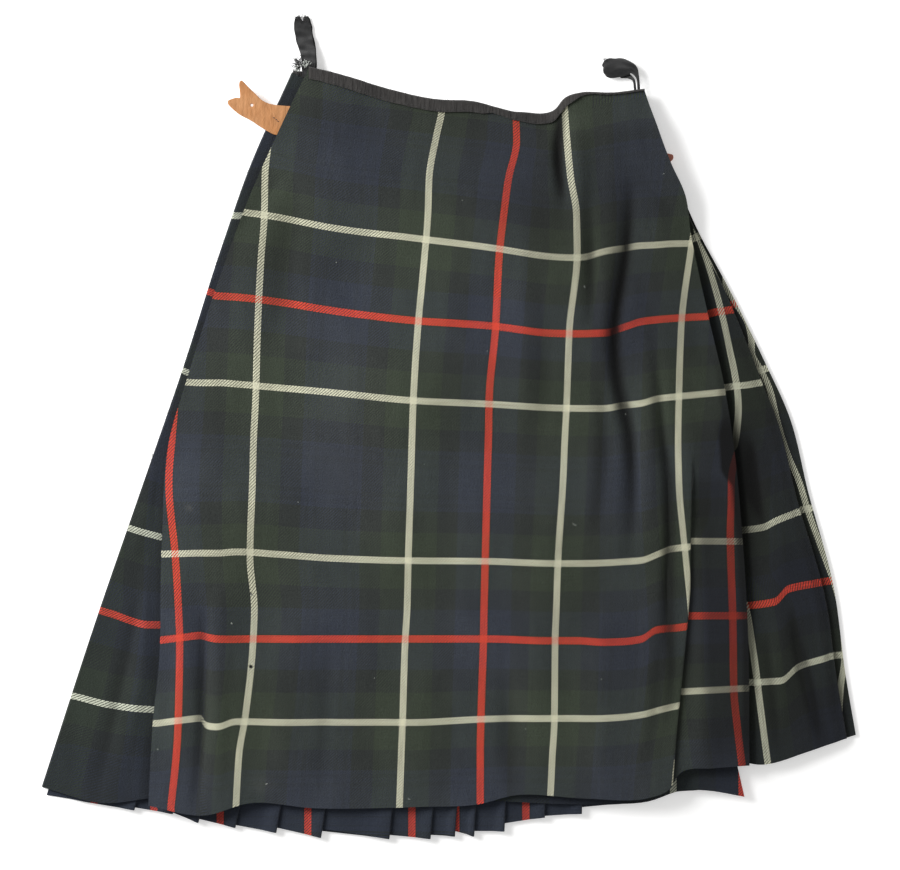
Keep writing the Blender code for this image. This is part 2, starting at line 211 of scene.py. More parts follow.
# The apron beyond its tuck, where the stripes have shifted.
BEYOND_RED = (
    # y, red_3
    (-40, 222), (-100, 223), (-150, 224.5), (-208, 225.5), (-240, 228.5), (-272, 232.5),
)
BEYOND_SHIFT = (-60, -30)  # the height where they start to shift, and how far on they all have
BEYOND_WEFT = ((150, 145, 87, 27, -91, -150.5, -212), (235, 146, 88, 28, -91.5, -150, -207.5))
UNDER_WEFT = (
    # x, white_1, red_1, white_2, white_3, red_2, white_4
    (-300, 215, 150, 84, -68, -141, -215), (-270, 205, 140, 74, -77, -149.5, -222),
    (-240, 190, 128, 62, -86, -158, -225), (-212, 178, 114, 44.5, -92, -158.5, -227),
    (-190, 173, 107, 38, -94, -159, -228), (-170, 168, 100, 34, -95, -159, -228),
    (235, 168, 100, 34, -95, -159, -228),
)
UNDER_EDGE_THREAD = 141  # under the outer apron's left edge
LAST_THREAD = 81  # the cloth is eased at its left, so that its white stripe stays hidden
UNDER_WHITE = (178.5, 532)  # x and thread of the two stripes at its right
UNDER_RED = (233.0, 608)
# The side pleats, by how far across each of their two shown strips.
NEAR_WEFT = (
    # across, white_1, red_1, white_2, white_3, red_2, white_4
    (0, 149, 89, 31, -83, -143, -203.5), (0.38, 149.5, 91, 32.5, -80.5, -139.5, -202),
    (0.6, 150, 91.5, 33, -75.5, -129, -191.5), (1, 151, 93, 35, -68.5, -124.5, -183),
)
FAR_WEFT = (
    (0, 151.5, 96.5, 43.5, -67.5, -124.5, -183), (1, 153, 99, 47.5, -65, -123, -182),
)
NEAR_WHITE = (
    # y, x
    (156, 197), (120, 208.5), (71, 220.5), (14, 229.5), (-4, 228.2), (-17, 226.3), (-24, 218),
    (-80, 216), (-112, 216), (-132, 228), (-141, 235), (-173, 240.5), (-235, 248.5), (-269, 253),
)
FAR_WHITE = (
    (111, 220.5), (98, 228.5), (80, 239), (68, 241), (60, 241), (47, 247.5), (31, 255), (6, 261),
    (-23, 270), (-44, 279), (-67, 286), (-107, 300.5), (-126, 307.5), (-155, 314), (-184, 315.5),
    (-210, 312), (-250, 310),
)
SIDE_WHITE_THREAD = 76
BACK_MIDDLE = (456, -300)  # weft thread at the back's hem, and its height
BACK_CLEAR = 26.5  # threads to each side of a red stripe of the back, past which it is all blue

# Creases of the outer apron: height, half width, and the points that each runs through.
CREASES = (
    (-4.0, 4.5, ((89, 262), (87, 213), (91, 176))),
    (3.0, 8, ((99, 256), (102, 200), (104, 150), (101, 110))),
    (-2.4, 6, ((109, 184), (112, 130), (114, 72))),
    (2.2, 9, ((126, 225), (125, 140), (118, 60))),
    (-4.2, 5.5, ((146, 204), (140, 141), (131, 70), (135, 30), (143, -4), (145, -60), (143, -100))),
    (2.2, 8, ((155, 90), (157, 20), (158, -100))),
    (-4.0, 5, (
        (165, 50), (169, -5), (173, -36), (175, -78), (174, -140), (173, -215), (170, -240),
    )),
    (1.8, 7, ((173, 150), (177, 60), (178, -30))),
    (2.0, 8, ((162, -110), (158, -200), (152, -285))),
    (-1.8, 6, ((120, 40), (122, -20), (116, -90))),
    (-2.8, 4.5, ((-195, -140), (-196, -200), (-197, -240), (-203, -309))),
    (2.0, 7, ((-184, -130), (-184, -220), (-186, -309))),
    (1.6, 8, ((-212, -110), (-212, -200), (-220, -300))),
    (1.4, 14, ((-120, -130), (-128, -220), (-136, -304))),
    (-1.2, 9, ((-98, -170), (-101, -240), (-104, -304))),
    (1.3, 16, ((-20, -160), (-26, -230), (-30, -304))),
    (1.6, 13, ((68, -110), (70, -200), (74, -298))),
    (-1.4, 8, ((44, -190), (46, -250), (49, -298))),
    (1.5, 10, ((118, -130), (120, -210), (122, -298))),
    (1.6, 20, ((-80, 250), (-92, 180), (-110, 90))),
    (-1.3, 12, ((-122, 190), (-134, 120), (-142, 40))),
    (1.3, 18, ((10, 200), (0, 120), (-10, 20))),
    (1.5, 12, ((56, 180), (58, 90), (56, -20))),
    (-1.2, 8, ((72, 120), (74, 40), (70, -40))),
)
# Uneven waves of each sheet: seed, length and height.
APRON_WAVES, UNDER_WAVES, SIDE_WAVES = (5, 90, 1.8), (8, 60, 1.0), (9, 50, 0.9)
CREASED = 3.2  # how far the cloth is raised where its troughs are
CREASE_SCALE = 1.2
CREASE_SHADOW, CREASE_DARK = 0.7, 3.0  # how dark a trough of this depth gets
APRON_RELIEF = 1.4
# Where the outer apron's troughs start to show, and over what width, in x or in y.
TROUGHS_X, TROUGHS_Y = (30, 60), (-330, 60)
LEFT_TROUGHS_X, LEFT_TROUGHS_Y = (-150, -30), (-90, -60)
BAND_FADE = (0.01, 0.05)  # where the relief starts below the waist, as a fraction of the depth
UNDER_RELIEF, UNDER_DARK, UNDER_DEPTH = 0.9, 0.5, 2
UNDER_SHOWN = (2, 12)  # how far out from the outer apron the relief starts, and its fade
UNDER_SHADOW, UNDER_SHADOW_WIDTH, ROLL_SHADE = 0.35, 5, 0.2
UNDER_CREASES = (
    (-1.6, 4.5, ((-247, -130), (-255, -173), (-269, -230), (-283, -296))),
    (1.5, 8, ((-240, -120), (-243, -180), (-255, -240), (-266, -298))),
    (0.9, 6, ((-225, 0), (-246, -80), (-262, -130))),
)
SIDE_RELIEF, SIDE_DARK, SIDE_DEPTH, SIDE_DARKEST = 1.8, 0.6, 1.6, 0.92
NEAR_CLEAR, FOLD_CLEAR = 8, 7  # how far from the apron and from the fold the relief comes
FOLD_SHADOW, FOLD_SHADOW_WIDTH = 0.5, 6
FAR_LEAST = 9  # the least width of the far strip that its weft is spread over
SIDE_CREASES = (
    (-2.4, 5, ((240, -8), (244, -54), (252, -84))),
    (-2.9, 5.5, ((270, -140), (276, -170), (285, -205), (297, -255))),
    (1.1, 8, ((262, -60), (262, -140), (266, -235))),
    (1.2, 8, ((285, -60), (297, -140), (306, -232))),
    (-1.3, 5, ((252, -160), (256, -205), (262, -262))),
)
# The dark gap beside the outer apron's free edge, by height on the garment.
SIDE_SHADOW = (
    # y, darkness, width
    (190, 0.30, 5), (60, 0.30, 6), (20, 0.45, 9), (4, 0.62, 12), (-14, 0.93, 17), (-45, 0.95, 17),
    (-75, 0.90, 13), (-110, 0.66, 9), (-150, 0.35, 6), (-270, 0.30, 6),
)

# Faded and dusty patches of the outer apron, and painted shade where an amount is under zero.
DUST_AND_PAINTED_SHADE = (
    # x, y, radius, amount, which is under zero where the cloth has painted shade
    (-118, 96, 26, 0.06), (-130, 60, 18, 0.05), (-60, 30, 60, 0.04), (-70, -40, 50, 0.04),
    (-207, -65, 3, 0.25), (-150, -285, 8, 0.08),
    (118, 215, 80, -0.24), (-200, -140, 55, -0.08), (150, 90, 75, -0.30), (70, 172, 38, -0.25),
    (-178, 135, 60, -0.38), (-203, 20, 45, -0.34), (-60, 252, 60, -0.22), (28, 20, 60, -0.12),
    (110, -95, 85, -0.20), (150, -220, 60, -0.18), (-115, 246, 34, -0.20), (20, 250, 45, -0.22),
    (-165, -100, 45, -0.14), (-130, -215, 40, -0.10), (108, 150, 40, -0.10),
)
# The shaded strip beyond the outer apron's tuck, by height on the garment.
RIGHT_SHADE = (
    # y, darkness of the strip, darkness along the free edge, how far in that reaches
    (60, 0, 0, 6), (14, 0.15, 0.6, 7), (-10, 0.3, 0.95, 13), (-34, 0.35, 0.95, 14),
    (-41, 0.42, 0.93, 11), (-48, 0.52, 0.88, 7), (-75, 0.58, 0.85, 7), (-115, 0.62, 0.65, 7),
    (-240, 0.62, 0.65, 7), (-290, 0.2, 0.3, 6),
)
RIGHT_STRIP = 42  # how far in from the free edge the shaded strip fades away
RIGHT_STRIP_FADE = 14
RIGHT_EDGE_FADE = 4
TUCK_SHADOW, TUCK_SHADOW_WIDTH, TUCK_SHADOW_DEPTH = 0.45, 7, 8
TUCK_CLEAR, TUCK_CLEAR_FADE = 3, 16  # how close to the tuck's fold the relief comes
DARKEST = 0.95
# Moth holes: x, y and radius.
HOLES = ((-158, -191, 1.5), (-158, -133, 0.9))
HOLE_FRAY = 0.8

COLOURS = {
    "red": (0.72, 0.052, 0.024),
    "white": (0.72, 0.71, 0.52),
    "black": (0.015, 0.018, 0.018),
    "ink": (0.0185, 0.0225, 0.036),
    "blue": (0.021, 0.026, 0.044),
    "green": (0.026, 0.036, 0.021),
}
NAP_COLOUR = (0.085, 0.095, 0.087, 1)
FADED_COLOUR = (0.052, 0.058, 0.043, 1)
DUST_COLOUR = (0.16, 0.155, 0.14, 1)
BLUE_TINT = (0.55, 0.72, 1.0, 1)
HOLE_COLOUR = (0.004, 0.004, 0.004, 1)
# The half sett, from the middle of the red stripe to the middle of the blue, in threads.
SETT = (
    (3.4, "red"), (1, "black"), (24, "blue"), (20, "black"), (23.6, "green"), (1, "black"),
    (6, "white"), (1, "black"), (23, "green"), (20, "black"), (4, "blue"), (4, "ink"),
    (4, "blue"), (4, "ink"), (13, "blue"),
)


# ---- sheets of cloth

def curve_at(points, fraction):
    """Points at the given fractions of a smooth curve's length."""
    points = np.array(points, float)
    steps = np.linalg.norm(np.diff(points, axis=0), axis=1)
    knots = np.concatenate([[0], np.cumsum(steps)]) / steps.sum()
    slopes = np.gradient(points, knots, axis=0)
    return smooth_between(np.atleast_1d(fraction), knots, points, slopes)


def hermite(t, first, first_slope, second, second_slope):
    """The smooth curve between two points, t from 0 to 1, with its slopes for the whole span."""
    return (
        (1 + 2 * t) * (1 - t) ** 2 * first
        + t * (1 - t) ** 2 * first_slope
        + t * t * (3 - 2 * t) * second
        + t * t * (t - 1) * second_slope
    )


def smooth_between(value, knots, points, slopes):
    """Points on the smooth curve that passes each knot's point at its slope."""
    start = np.clip(np.searchsorted(knots, value) - 1, 0, len(knots) - 2)
    span = (knots[start + 1] - knots[start])[:, None]
    t = (value - knots[start])[:, None] / span
    slopes = span * slopes[start], span * slopes[start + 1]
    return hermite(t, points[start], slopes[0], points[start + 1], slopes[1])


def table_at(table, value):
    """A table's other columns at values of its first, which may run up or down."""
    table = np.array(table, float)
    if table[0, 0] > table[-1, 0]:
        table = table[::-1]
    knots = table[:, 0]
    steps = np.diff(table[:, 1:], axis=0) / np.diff(knots)[:, None]
    before, after = np.concatenate([steps[:1], steps]), np.concatenate([steps, steps[-1:]])
    gentle = np.minimum(np.abs(before), np.abs(after)) * 1.5
    slopes = np.clip((before + after) / 2, -gentle, gentle) * (before * after > 0)
    return smooth_between(np.clip(value, knots[0], knots[-1]), knots, table[:, 1:], slopes)


def columns_at(table, value):
    """A table's other columns at one value of its first, in straight steps."""
    first, *others = np.array(table, float).T
    return [np.interp(value, first, other) for other in others]


def sheet_points(edges, across, down):
    """Points of the flat sheet between its top, hem, left and right edges."""
    top, hem, left, right = edges
    a = np.asarray(across, float)[:, None]
    sides = (1 - a) * curve_at(left, down) + a * curve_at(right, down)
    ends = (1 - down) * curve_at(top, across) + down * curve_at(hem, across)
    upper = (1 - a) * np.array(top[0]) + a * np.array(top[-1])
    lower = (1 - a) * np.array(hem[0]) + a * np.array(hem[-1])
    return sides + ends - (1 - down) * upper - down * lower


def lowered(curve, drop):
    """A curve moved towards the hem."""
    return tuple((x, y - drop) for x, y in curve)


def side_from(side, corner):
    """A side edge that starts at another corner."""
    return (corner, *side[1:])


def smooth_step(value):
    t = np.clip(value, 0, 1)
    return t * t * (3 - 2 * t)


def ramp(value, start, width):
    """0 before the start and 1 past the width, which is under zero for a fall."""
    return smooth_step((value - start) / width)


def bell(gap, width):
    """1 where the gap is zero, fading out at about the width."""
    return np.exp(-((gap / width) ** 2))


def height_of(layer):
    """The height of the middle of a layer's cloth."""
    return CLOTH / 2 + layer * LAYER


def side_at(side, y):
    """How far out a side edge is at each height on the garment."""
    table = np.array(side[::-1], float)
    return np.interp(y, table[:, 1], table[:, 0])


def rest_layer(x, y):
    """The first free layer over the back, which thins to one layer towards its two sides."""
    left = side_at(LEFT_SIDE, y)
    right = side_at(RIGHT_SIDE, y)
    across = (x - left) / (right - left)
    inside = smooth_step(np.minimum(across / LEFT_THIN, (1 - across) / RIGHT_THIN))
    at_waist = ramp(y, WAIST_STACK_Y, WAIST_STACK_RISE)
    return 1 + 4 * np.maximum(inside, at_waist)


def threads_between(place, lines, counts):
    """The thread at each place, from the stripes' own places and counts.

    Beside a stripe the cloth keeps its scale, and it is drawn in or let out between stripes."""
    counts = np.array(counts, float)
    start = np.clip((place[:, None] >= lines).sum(axis=1) - 1, 0, lines.shape[1] - 2)
    row = np.arange(len(place))
    first, second = lines[row, start], lines[row, start + 1]
    span = second - first
    t = (place - first) / span
    slope = span / THREAD
    inner = hermite(t, counts[start], slope, counts[start + 1], slope)
    below = counts[start] + t * slope
    above = counts[start + 1] + (t - 1) * slope
    return np.where(t < 0, below, np.where(t > 1, above, inner))


def weft_at(table, place, y):
    """The weft thread at each place, from a table of the heights of the stripes."""
    return threads_between(-y, -table_at(table, place), WEFT_THREADS)


def crease_height(x, y, creases):
    """How far creases raise or sink the cloth at each point."""
    total = np.zeros(len(x))
    along = np.linspace(0, 1, CREASE_POINTS)
    for height, half_width, points in creases:
        line = curve_at(points, along)
        gap = np.hypot(x[:, None] - line[:, 0], y[:, None] - line[:, 1])
        nearest = gap.argmin(axis=1)
        fade = np.sin(np.pi * np.clip(along[nearest], 0.02, 0.98)) ** 0.7
        total += height * fade * bell(gap.min(axis=1), half_width)
    return total


def unevenness(x, y, seed, size, height):
    """Gentle waves in all directions, about as long as size."""
    draw = np.random.default_rng(seed)
    total = np.zeros(len(x))
    for _ in range(WAVES):
        angle, phase = draw.uniform(0, 2 * np.pi, 2)
        length = size * draw.uniform(0.6, 1.7)
        along = x * np.cos(angle) + 0.45 * y * np.sin(angle)
        total += np.sin(2 * np.pi * along / length + phase)
    return height * total / WAVES


def fold_over(fold, top, side):
    """The points of a fold that turns over from one layer to the one under it."""
    turn = np.radians(np.linspace(90, -90, FOLD_POINTS))
    level = top - 0.5 + 0.5 * np.sin(turn)
    return np.column_stack([np.full(FOLD_POINTS, fold), level, side * FOLD_RADIUS * np.cos(turn)])


def straight_run(start, end, count, layer):
    """Points from one place to another, on one layer or on one that changes with the place."""
    across = np.linspace(start, end, count + 2)[1:-1]
    level = layer(across) if callable(layer) else np.full(count, float(layer))
    return np.column_stack([across, level, np.zeros(count)])


def edge_roll(x, y, layer):
    """The fold at the left silhouette, from the surface up to the sheet on a layer."""
    turn = np.radians(np.linspace(-90, 80, FOLD_POINTS))
    return np.column_stack([
        x + (EDGE_ROLL - ROLL_OUT * FOLD_RADIUS * np.cos(turn)),
        np.full(FOLD_POINTS, y),
        height_of(layer / 2) + layer / 2 * LAYER * np.sin(turn),
    ])


def tuck_profile(depth, turn):
    """How far over and down the cloth has gone at each point of a tuck."""
    bend = max(FOLD_RADIUS * np.radians(turn), TUCK_BEND) / TUCK_STEPS
    parts = (np.arange(TUCK_STEPS) + 0.5) / TUCK_STEPS
    heading = np.radians(turn) * np.concatenate([parts, [1], 1 - parts])
    length = np.array([bend] * TUCK_STEPS + [depth] + [bend] * TUCK_STEPS)
    over = np.concatenate([[0], np.cumsum(length * np.cos(heading))])
    down = np.concatenate([[0], np.cumsum(length * np.sin(heading))])
    return over, down


def add_object(name, data):
    made = bpy.data.objects.new(name, data)
    bpy.context.scene.collection.objects.link(made)
    return made


def bridged(first, second, start, end, part):
    """The first rows up to the start, the second ones from the end, and steps between."""
    column = np.arange(len(first))[:, None]
    between = first[start] + np.clip(part, 0, 1)[:, None] * (second[end] - first[start])
    return np.where(column <= start, first, np.where(column >= end, second, between))


def shell(name, rows, finish, threads=None, dust_and_shade=None, thickness=SHOWN_CLOTH):
    """A closed thin sheet, its middle through rows of points, with its threads and its dust and
    painted shade.
    """
    rows = np.array(rows, float)
    count, width, _ = rows.shape
    normal = np.cross(np.gradient(rows, axis=1), -np.gradient(rows, axis=0))
    normal /= np.maximum(np.linalg.norm(normal, axis=2, keepdims=True), 1e-9)
    size = count * width
    points = np.concatenate([
        (rows + normal * thickness / 2).reshape(-1, 3),
        (rows - normal * thickness / 2).reshape(-1, 3),
    ])
    index = np.arange(size).reshape(count, width)
    corners = (index[:-1, :-1], index[1:, :-1], index[1:, 1:], index[:-1, 1:])
    top = np.stack(corners, axis=-1).reshape(-1, 4)
    edge = np.concatenate([index[0, :-1], index[:-1, -1], index[-1, :0:-1], index[:0:-1, 0]])
    after = np.roll(edge, -1)
    rim = np.column_stack([edge, after, after + size, edge + size])
    mesh = bpy.data.meshes.new(name)
    faces = np.concatenate([top, top[:, ::-1] + size, rim])
    mesh.from_pydata((points * MM).tolist(), [], faces.tolist())
    if threads is not None:
        values = np.zeros((2 * size, 3), np.float32)
        values[:, :2] = np.tile(np.reshape(threads, (-1, 2)), (2, 1))
        values[:, 2] = 0 if dust_and_shade is None else np.tile(np.reshape(dust_and_shade, -1), 2)
        attribute = mesh.attributes.new("threads", "FLOAT_VECTOR", "POINT")
        attribute.data.foreach_set("vector", values.ravel())
    mesh.shade_smooth()
    mesh.set_sharp_from_angle(angle=np.radians(50))
    mesh.materials.append(finish)
    return add_object(name, mesh)


def place_piece(piece, slot, *nodes):
    """Ride on the kilt's one body and stand for the CAD solids, which are hidden. The slot is not
    used.
    """
    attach(piece, "root")
    if nodes:
        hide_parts(*nodes)
    return piece


# ---- materials

class Finish:
    """A material and short ways to add nodes to it."""

    def __init__(self, name, roughness, sheen=0.0):
        self.material = bpy.data.materials.new(name)
        self.material.use_nodes = True
        self.tree = self.material.node_tree
        self.shader = self.tree.nodes["Principled BSDF"]
        self.shader.inputs["Roughness"].default_value = roughness
        self.shader.inputs["Specular IOR Level"].default_value = 0.25
        if sheen:
            self.shader.inputs["Sheen Weight"].default_value = sheen
            self.shader.inputs["Sheen Roughness"].default_value = 0.45

    def add(self, kind, inputs=(), **settings):
        made = self.tree.nodes.new("ShaderNode" + kind)
        for key, value in settings.items():
            setattr(made, key, value)
        for key, value in dict(inputs).items():
            if isinstance(value, bpy.types.NodeSocket):
                self.tree.links.new(value, made.inputs[key])
            else:
                made.inputs[key].default_value = value
        return made

    def math(self, operation, *values):
        return self.add("Math", enumerate(values), operation=operation).outputs[0]

    def times(self, *values):
        product = values[0]
        for value in values[1:]:
            product = self.math("MULTIPLY", product, value)
        return product

    def mix(self, factor, first, second, blend="MIX"):
        values = {0: factor, 6: first, 7: second}
        return self.add("Mix", values, data_type="RGBA", blend_type=blend).outputs[2]

    def noise(self, vector, scale, detail=2.0):
        inputs = {"Vector": vector, "Scale": scale, "Detail": detail}
        return self.add("TexNoise", inputs).outputs[0]

    def place(self):
        return self.add("TexCoord").outputs["Object"]

    def stretched(self, vector, x, y, z=1.0):
        return self.add("Mapping", {"Vector": vector, "Scale": (x, y, z)}).outputs[0]

    def spread(self, value, low, high):
        """A value from 0 to 1 turned into one from low to high."""
        inputs = {"Value": value, "To Min": low, "To Max": high}
        return self.add("MapRange", inputs).outputs[0]

    def red_of(self, colour):
        return self.add("SeparateColor", {0: colour}).outputs[0]

    def scaled(self, colour, factor):
        return self.add("VectorMath", {0: colour, "Scale": factor}, operation="SCALE").outputs[0]

    def bump(self, height, distance, under=None):
        inputs = {"Height": height, "Distance": distance, "Strength": 1.0}
        if under is not None:
            inputs["Normal"] = under
        return self.add("Bump", inputs).outputs[0]

    def finish(self, colour, normal):
        self.tree.links.new(colour, self.shader.inputs["Base Color"])
        self.tree.links.new(normal, self.shader.inputs["Normal"])
        return self.material


def sett_at(finish, thread):
    """The sett's colour at a thread."""
    turned = finish.math("PINGPONG", thread, HALF_SETT)
    made = finish.add("ValToRGB", {0: finish.math("DIVIDE", turned, HALF_SETT)})
    made.color_ramp.interpolation = "CONSTANT"
    stops = made.color_ramp.elements
    at = 0.0
    for number, (width, name) in enumerate(SETT):
        stop = stops[0] if number == 0 else stops.new(at / HALF_SETT)
        stop.position = at / HALF_SETT
        stop.color = (*COLOURS[name], 1)
        at += width
    stops.remove(stops[-1])
    return made.outputs[0]


def woven_sett(finish, threads, across, down):
    """Warp and weft that each carry the sett: the colour of the one on top, and its height."""
    warp_yarn, weft_yarn = finish.times(across, YARNS), finish.times(down, YARNS)
    diagonal = finish.math("DIVIDE", finish.math("ADD", warp_yarn, weft_yarn), TWILL)
    warp_sett, weft_sett = sett_at(finish, across), sett_at(finish, down)
    brighter = finish.math("SUBTRACT", finish.red_of(warp_sett), finish.red_of(weft_sett))
    cover = finish.math("MULTIPLY_ADD", brighter, COVER, 0.5)
    warp_on_top = finish.math("LESS_THAN", finish.math("FRACT", diagonal), cover)
    colours, heights = [], []
    sides = ((warp_sett, warp_yarn, 1.0, SLUB), (weft_sett, weft_yarn, SLUB, 1.0))
    for sett, yarn, x_scale, y_scale in sides:
        slub = finish.noise(finish.stretched(threads, x_scale, y_scale), 1.0)
        colours.append(finish.scaled(sett, finish.spread(slub, 0.55, 1.45)))
        heights.append(finish.math("ABSOLUTE", finish.math("SINE", finish.times(yarn, np.pi))))
    woven = finish.mix(warp_on_top, colours[1], colours[0])
    inputs = {0: warp_on_top, 2: heights[1], 3: heights[0]}
    return woven, finish.add("Mix", inputs, data_type="FLOAT").outputs[0]


def eaten_by_moths(finish, place, fuzz, colour, holes):
    """The cloth's colour with a ragged black hole at each place."""
    flat = finish.stretched(place, 1.0, 1.0, 0.0)
    for x, y, radius in holes:
        inputs = {0: flat, 1: (x * MM, y * MM, 0.0)}
        gap = finish.add("VectorMath", inputs, operation="DISTANCE").outputs[1]
        rough = finish.math("MULTIPLY_ADD", fuzz, 2 * HOLE_FRAY * MM, gap)
        eaten = finish.math("LESS_THAN", rough, (radius + HOLE_FRAY) * MM)
        colour = finish.mix(eaten, colour, HOLE_COLOUR)
    return colour


def tartan(name, painted_light_level, blueness, holes=()):
    """Twill-woven wool, napped, faded in clouds and uneven in tone, its ground darkened by painted
    shade.

    The third value of the threads is dust where it is over zero, and painted shade where it is
    under."""
    finish = Finish(name, roughness=0.92, sheen=0.12)
    threads = finish.add("Attribute", attribute_name="threads").outputs["Vector"]
    across, down, dust_and_shade = finish.add("SeparateXYZ", {0: threads}).outputs
    woven, rounded = woven_sett(finish, threads, across, down)
    place = finish.place()
    cloudy, fuzz = finish.noise(place, 22, 3), finish.noise(place, 900, 2)
    felted = finish.mix(finish.spread(fuzz, -0.06, 0.26), woven, NAP_COLOUR)
    faded = finish.mix(finish.spread(cloudy, -0.05, 0.22), felted, FADED_COLOUR)
    worn = finish.mix(dust_and_shade, faded, DUST_COLOUR)
    worn = eaten_by_moths(finish, place, fuzz, worn, holes)
    tinted = finish.mix(blueness, worn, BLUE_TINT, "MULTIPLY")
    grain = finish.spread(finish.noise(place, 1400, 2), 0.5, 1.5)
    patchy = finish.spread(finish.noise(place, 11, 4), 0.74, 1.26)
    streaky = finish.spread(finish.noise(finish.stretched(place, 1.0, 0.25), 90, 3), 0.80, 1.20)
    shadowed = finish.math("ADD", finish.math("MINIMUM", dust_and_shade, 0.0), 1.0)
    # The ground is painted darker to the material's level, as painted shade, and the palest yarns
    # less so.
    kept = finish.spread(finish.red_of(woven), painted_light_level, STRIPE_LEVEL)
    varied = finish.times(grain, patchy, streaky)
    shown = finish.scaled(tinted, finish.times(varied, shadowed, kept))
    return finish.finish(shown, finish.bump(fuzz, 0.0006, finish.bump(rounded, 0.00012)))


def band_cloth():
    """Faded black binding, napped, gathered and worn grey in patches."""
    finish = Finish("band", roughness=0.9, sheen=0.12)
    place = finish.place()
    patchy = finish.noise(place, 60, 4)
    weave = finish.noise(finish.stretched(place, 1.0, 3.0), 1400, 1)
    gathers = finish.noise(finish.stretched(place, 1.0, 0.18), 420, 2)
    base = finish.mix(patchy, (0.011, 0.011, 0.0115, 1), (0.056, 0.052, 0.049, 1))
    # Lighter on the gathers' crests and darker between them, as their bump is: painted light and
    # shade.
    gather_shaded = finish.scaled(base, finish.spread(gathers, 0.72, 1.28))
    shown = finish.scaled(gather_shaded, finish.spread(weave, 0.65, 1.35))
    normal = finish.bump(gathers, 0.0014)
    return finish.finish(shown, finish.bump(weave, 0.0004, normal))


def leather(name, colour, pale):
    """Dry strap leather with a fine grain, creases and paler scuffs."""
    finish = Finish(name, roughness=0.62)
    place = finish.place()
    mottle = finish.noise(place, 70, 5)
    grain = finish.add("TexVoronoi", {"Vector": place, "Scale": 1500.0}).outputs[0]
    creased = finish.noise(finish.stretched(place, 1.0, 0.35), 320, 3)
    base = finish.mix(finish.spread(mottle, -0.3, 1.1), (*colour, 1), (*pale, 1))
    # Lighter on the creases' ridges and darker in their hollows, as their bump is: painted light
    # and shade.
    shown = finish.scaled(base, finish.spread(creased, 0.72, 1.22))
    normal = finish.bump(grain, 0.00012)
    return finish.finish(shown, finish.bump(creased, 0.0006, normal))


def ribbon_cloth():
    """Black ribbon with fine ribs across it and a low sheen."""
    finish = Finish("ribbon", roughness=0.5, sheen=0.2)
    place = finish.place()
    rib = finish.add(
        "TexWave", {"Vector": place, "Scale": 700.0, "Distortion": 1.5}, bands_direction="Y"
    ).outputs[1]
    dust = finish.noise(place, 400, 4)
    dust = finish.spread(dust, -0.1, 0.5)
    base = finish.mix(dust, (0.006, 0.0065, 0.007, 1), (0.044, 0.044, 0.046, 1))
    return finish.finish(base, finish.bump(rib, 0.0003))


def yarn_cloth(name, dark, light):
    """Loose yarn and stitches, whose fibres vary in colour."""
    finish = Finish(name, roughness=0.9, sheen=0.2)
    varied = finish.noise(finish.place(), 300, 2)
    shown = finish.mix(varied, (*dark, 1), (*light, 1))
    return finish.finish(shown, finish.bump(varied, 0.0003))


# ---- the kilt's cloth

def apron_layer(x, y, across):
    """The layer that the outer apron lies on, raised where a strap or the side pleats are."""
    strap = STRAP_LIFT * ramp(across, STRAP_REACH, -STRAP_FADE) * ramp(y, STRAP_Y, STRAP_RISE)
    pleats = SIDE_LIFT + SIDE_TOP_LIFT * ramp(y, SIDE_TOP_Y, SIDE_TOP_RISE)
    side = pleats * ramp(across, SIDE_START, SIDE_RISE)
    return rest_layer(x, y) + 1 + np.maximum(strap, side)


def apron_crease(x, y, down):
    """The outer apron's relief, which fades out under the waistband, and its shadow."""
    troughs = ramp(x, *TROUGHS_X) * ramp(y, *TROUGHS_Y)
    left = ramp(x, *LEFT_TROUGHS_X) * ramp(y, *LEFT_TROUGHS_Y)
    crease = crease_height(x, y, CREASES)
    raised = CREASED * np.maximum(troughs, left) + APRON_RELIEF
    relief = np.maximum(raised + CREASE_SCALE * crease + unevenness(x, y, *APRON_WAVES), 0)
    shadow = CREASE_SHADOW * np.clip(-crease / CREASE_DARK, 0, 1)
    return relief * ramp(down, *BAND_FADE), shadow


def apron_threads(x, y, path, edge_column, end_column):
    """Threads across and down the outer apron, also where its tuck has shifted them."""
    warp = threads_between(x, table_at(APRON_WARP, y), APRON_WARP_THREADS)
    weft = np.maximum(weft_at(APRON_WEFT, x, y), WEFT_TOP)
    plain = np.column_stack([warp, weft])
    warp = APRON_WARP_THREADS[-1] + (x - table_at(BEYOND_RED, y)[:, 0]) / THREAD
    beyond = np.column_stack([warp, weft_at(BEYOND_WEFT, x, y)])
    beyond = plain + ramp(y, *BEYOND_SHIFT)[:, None] * (beyond - plain)
    part = (path - path[edge_column]) / (path[end_column] - path[edge_column])
    return bridged(plain, beyond, edge_column, end_column, part)


def dust_and_painted_shade_at(x, y):
    """Faded and dusty patches of the outer apron, and painted shade where an amount is under zero.
    """
    total = np.zeros(len(x))
    for centre_x, centre_y, radius, amount in DUST_AND_PAINTED_SHADE:
        total += amount * bell(np.hypot(x - centre_x, y - centre_y), radius)
    return total


def right_shade(x, y):
    """How dark the outer apron is beyond its tuck and along its free edge."""
    strip, edge, reach = table_at(RIGHT_SHADE, y).T
    inside = side_at(APRON_RIGHT, y) - x
    strip = strip * ramp(inside, RIGHT_STRIP, -RIGHT_STRIP_FADE)
    edge = edge * ramp(inside, reach, -RIGHT_EDGE_FADE)
    return 1 - (1 - strip) * (1 - edge)


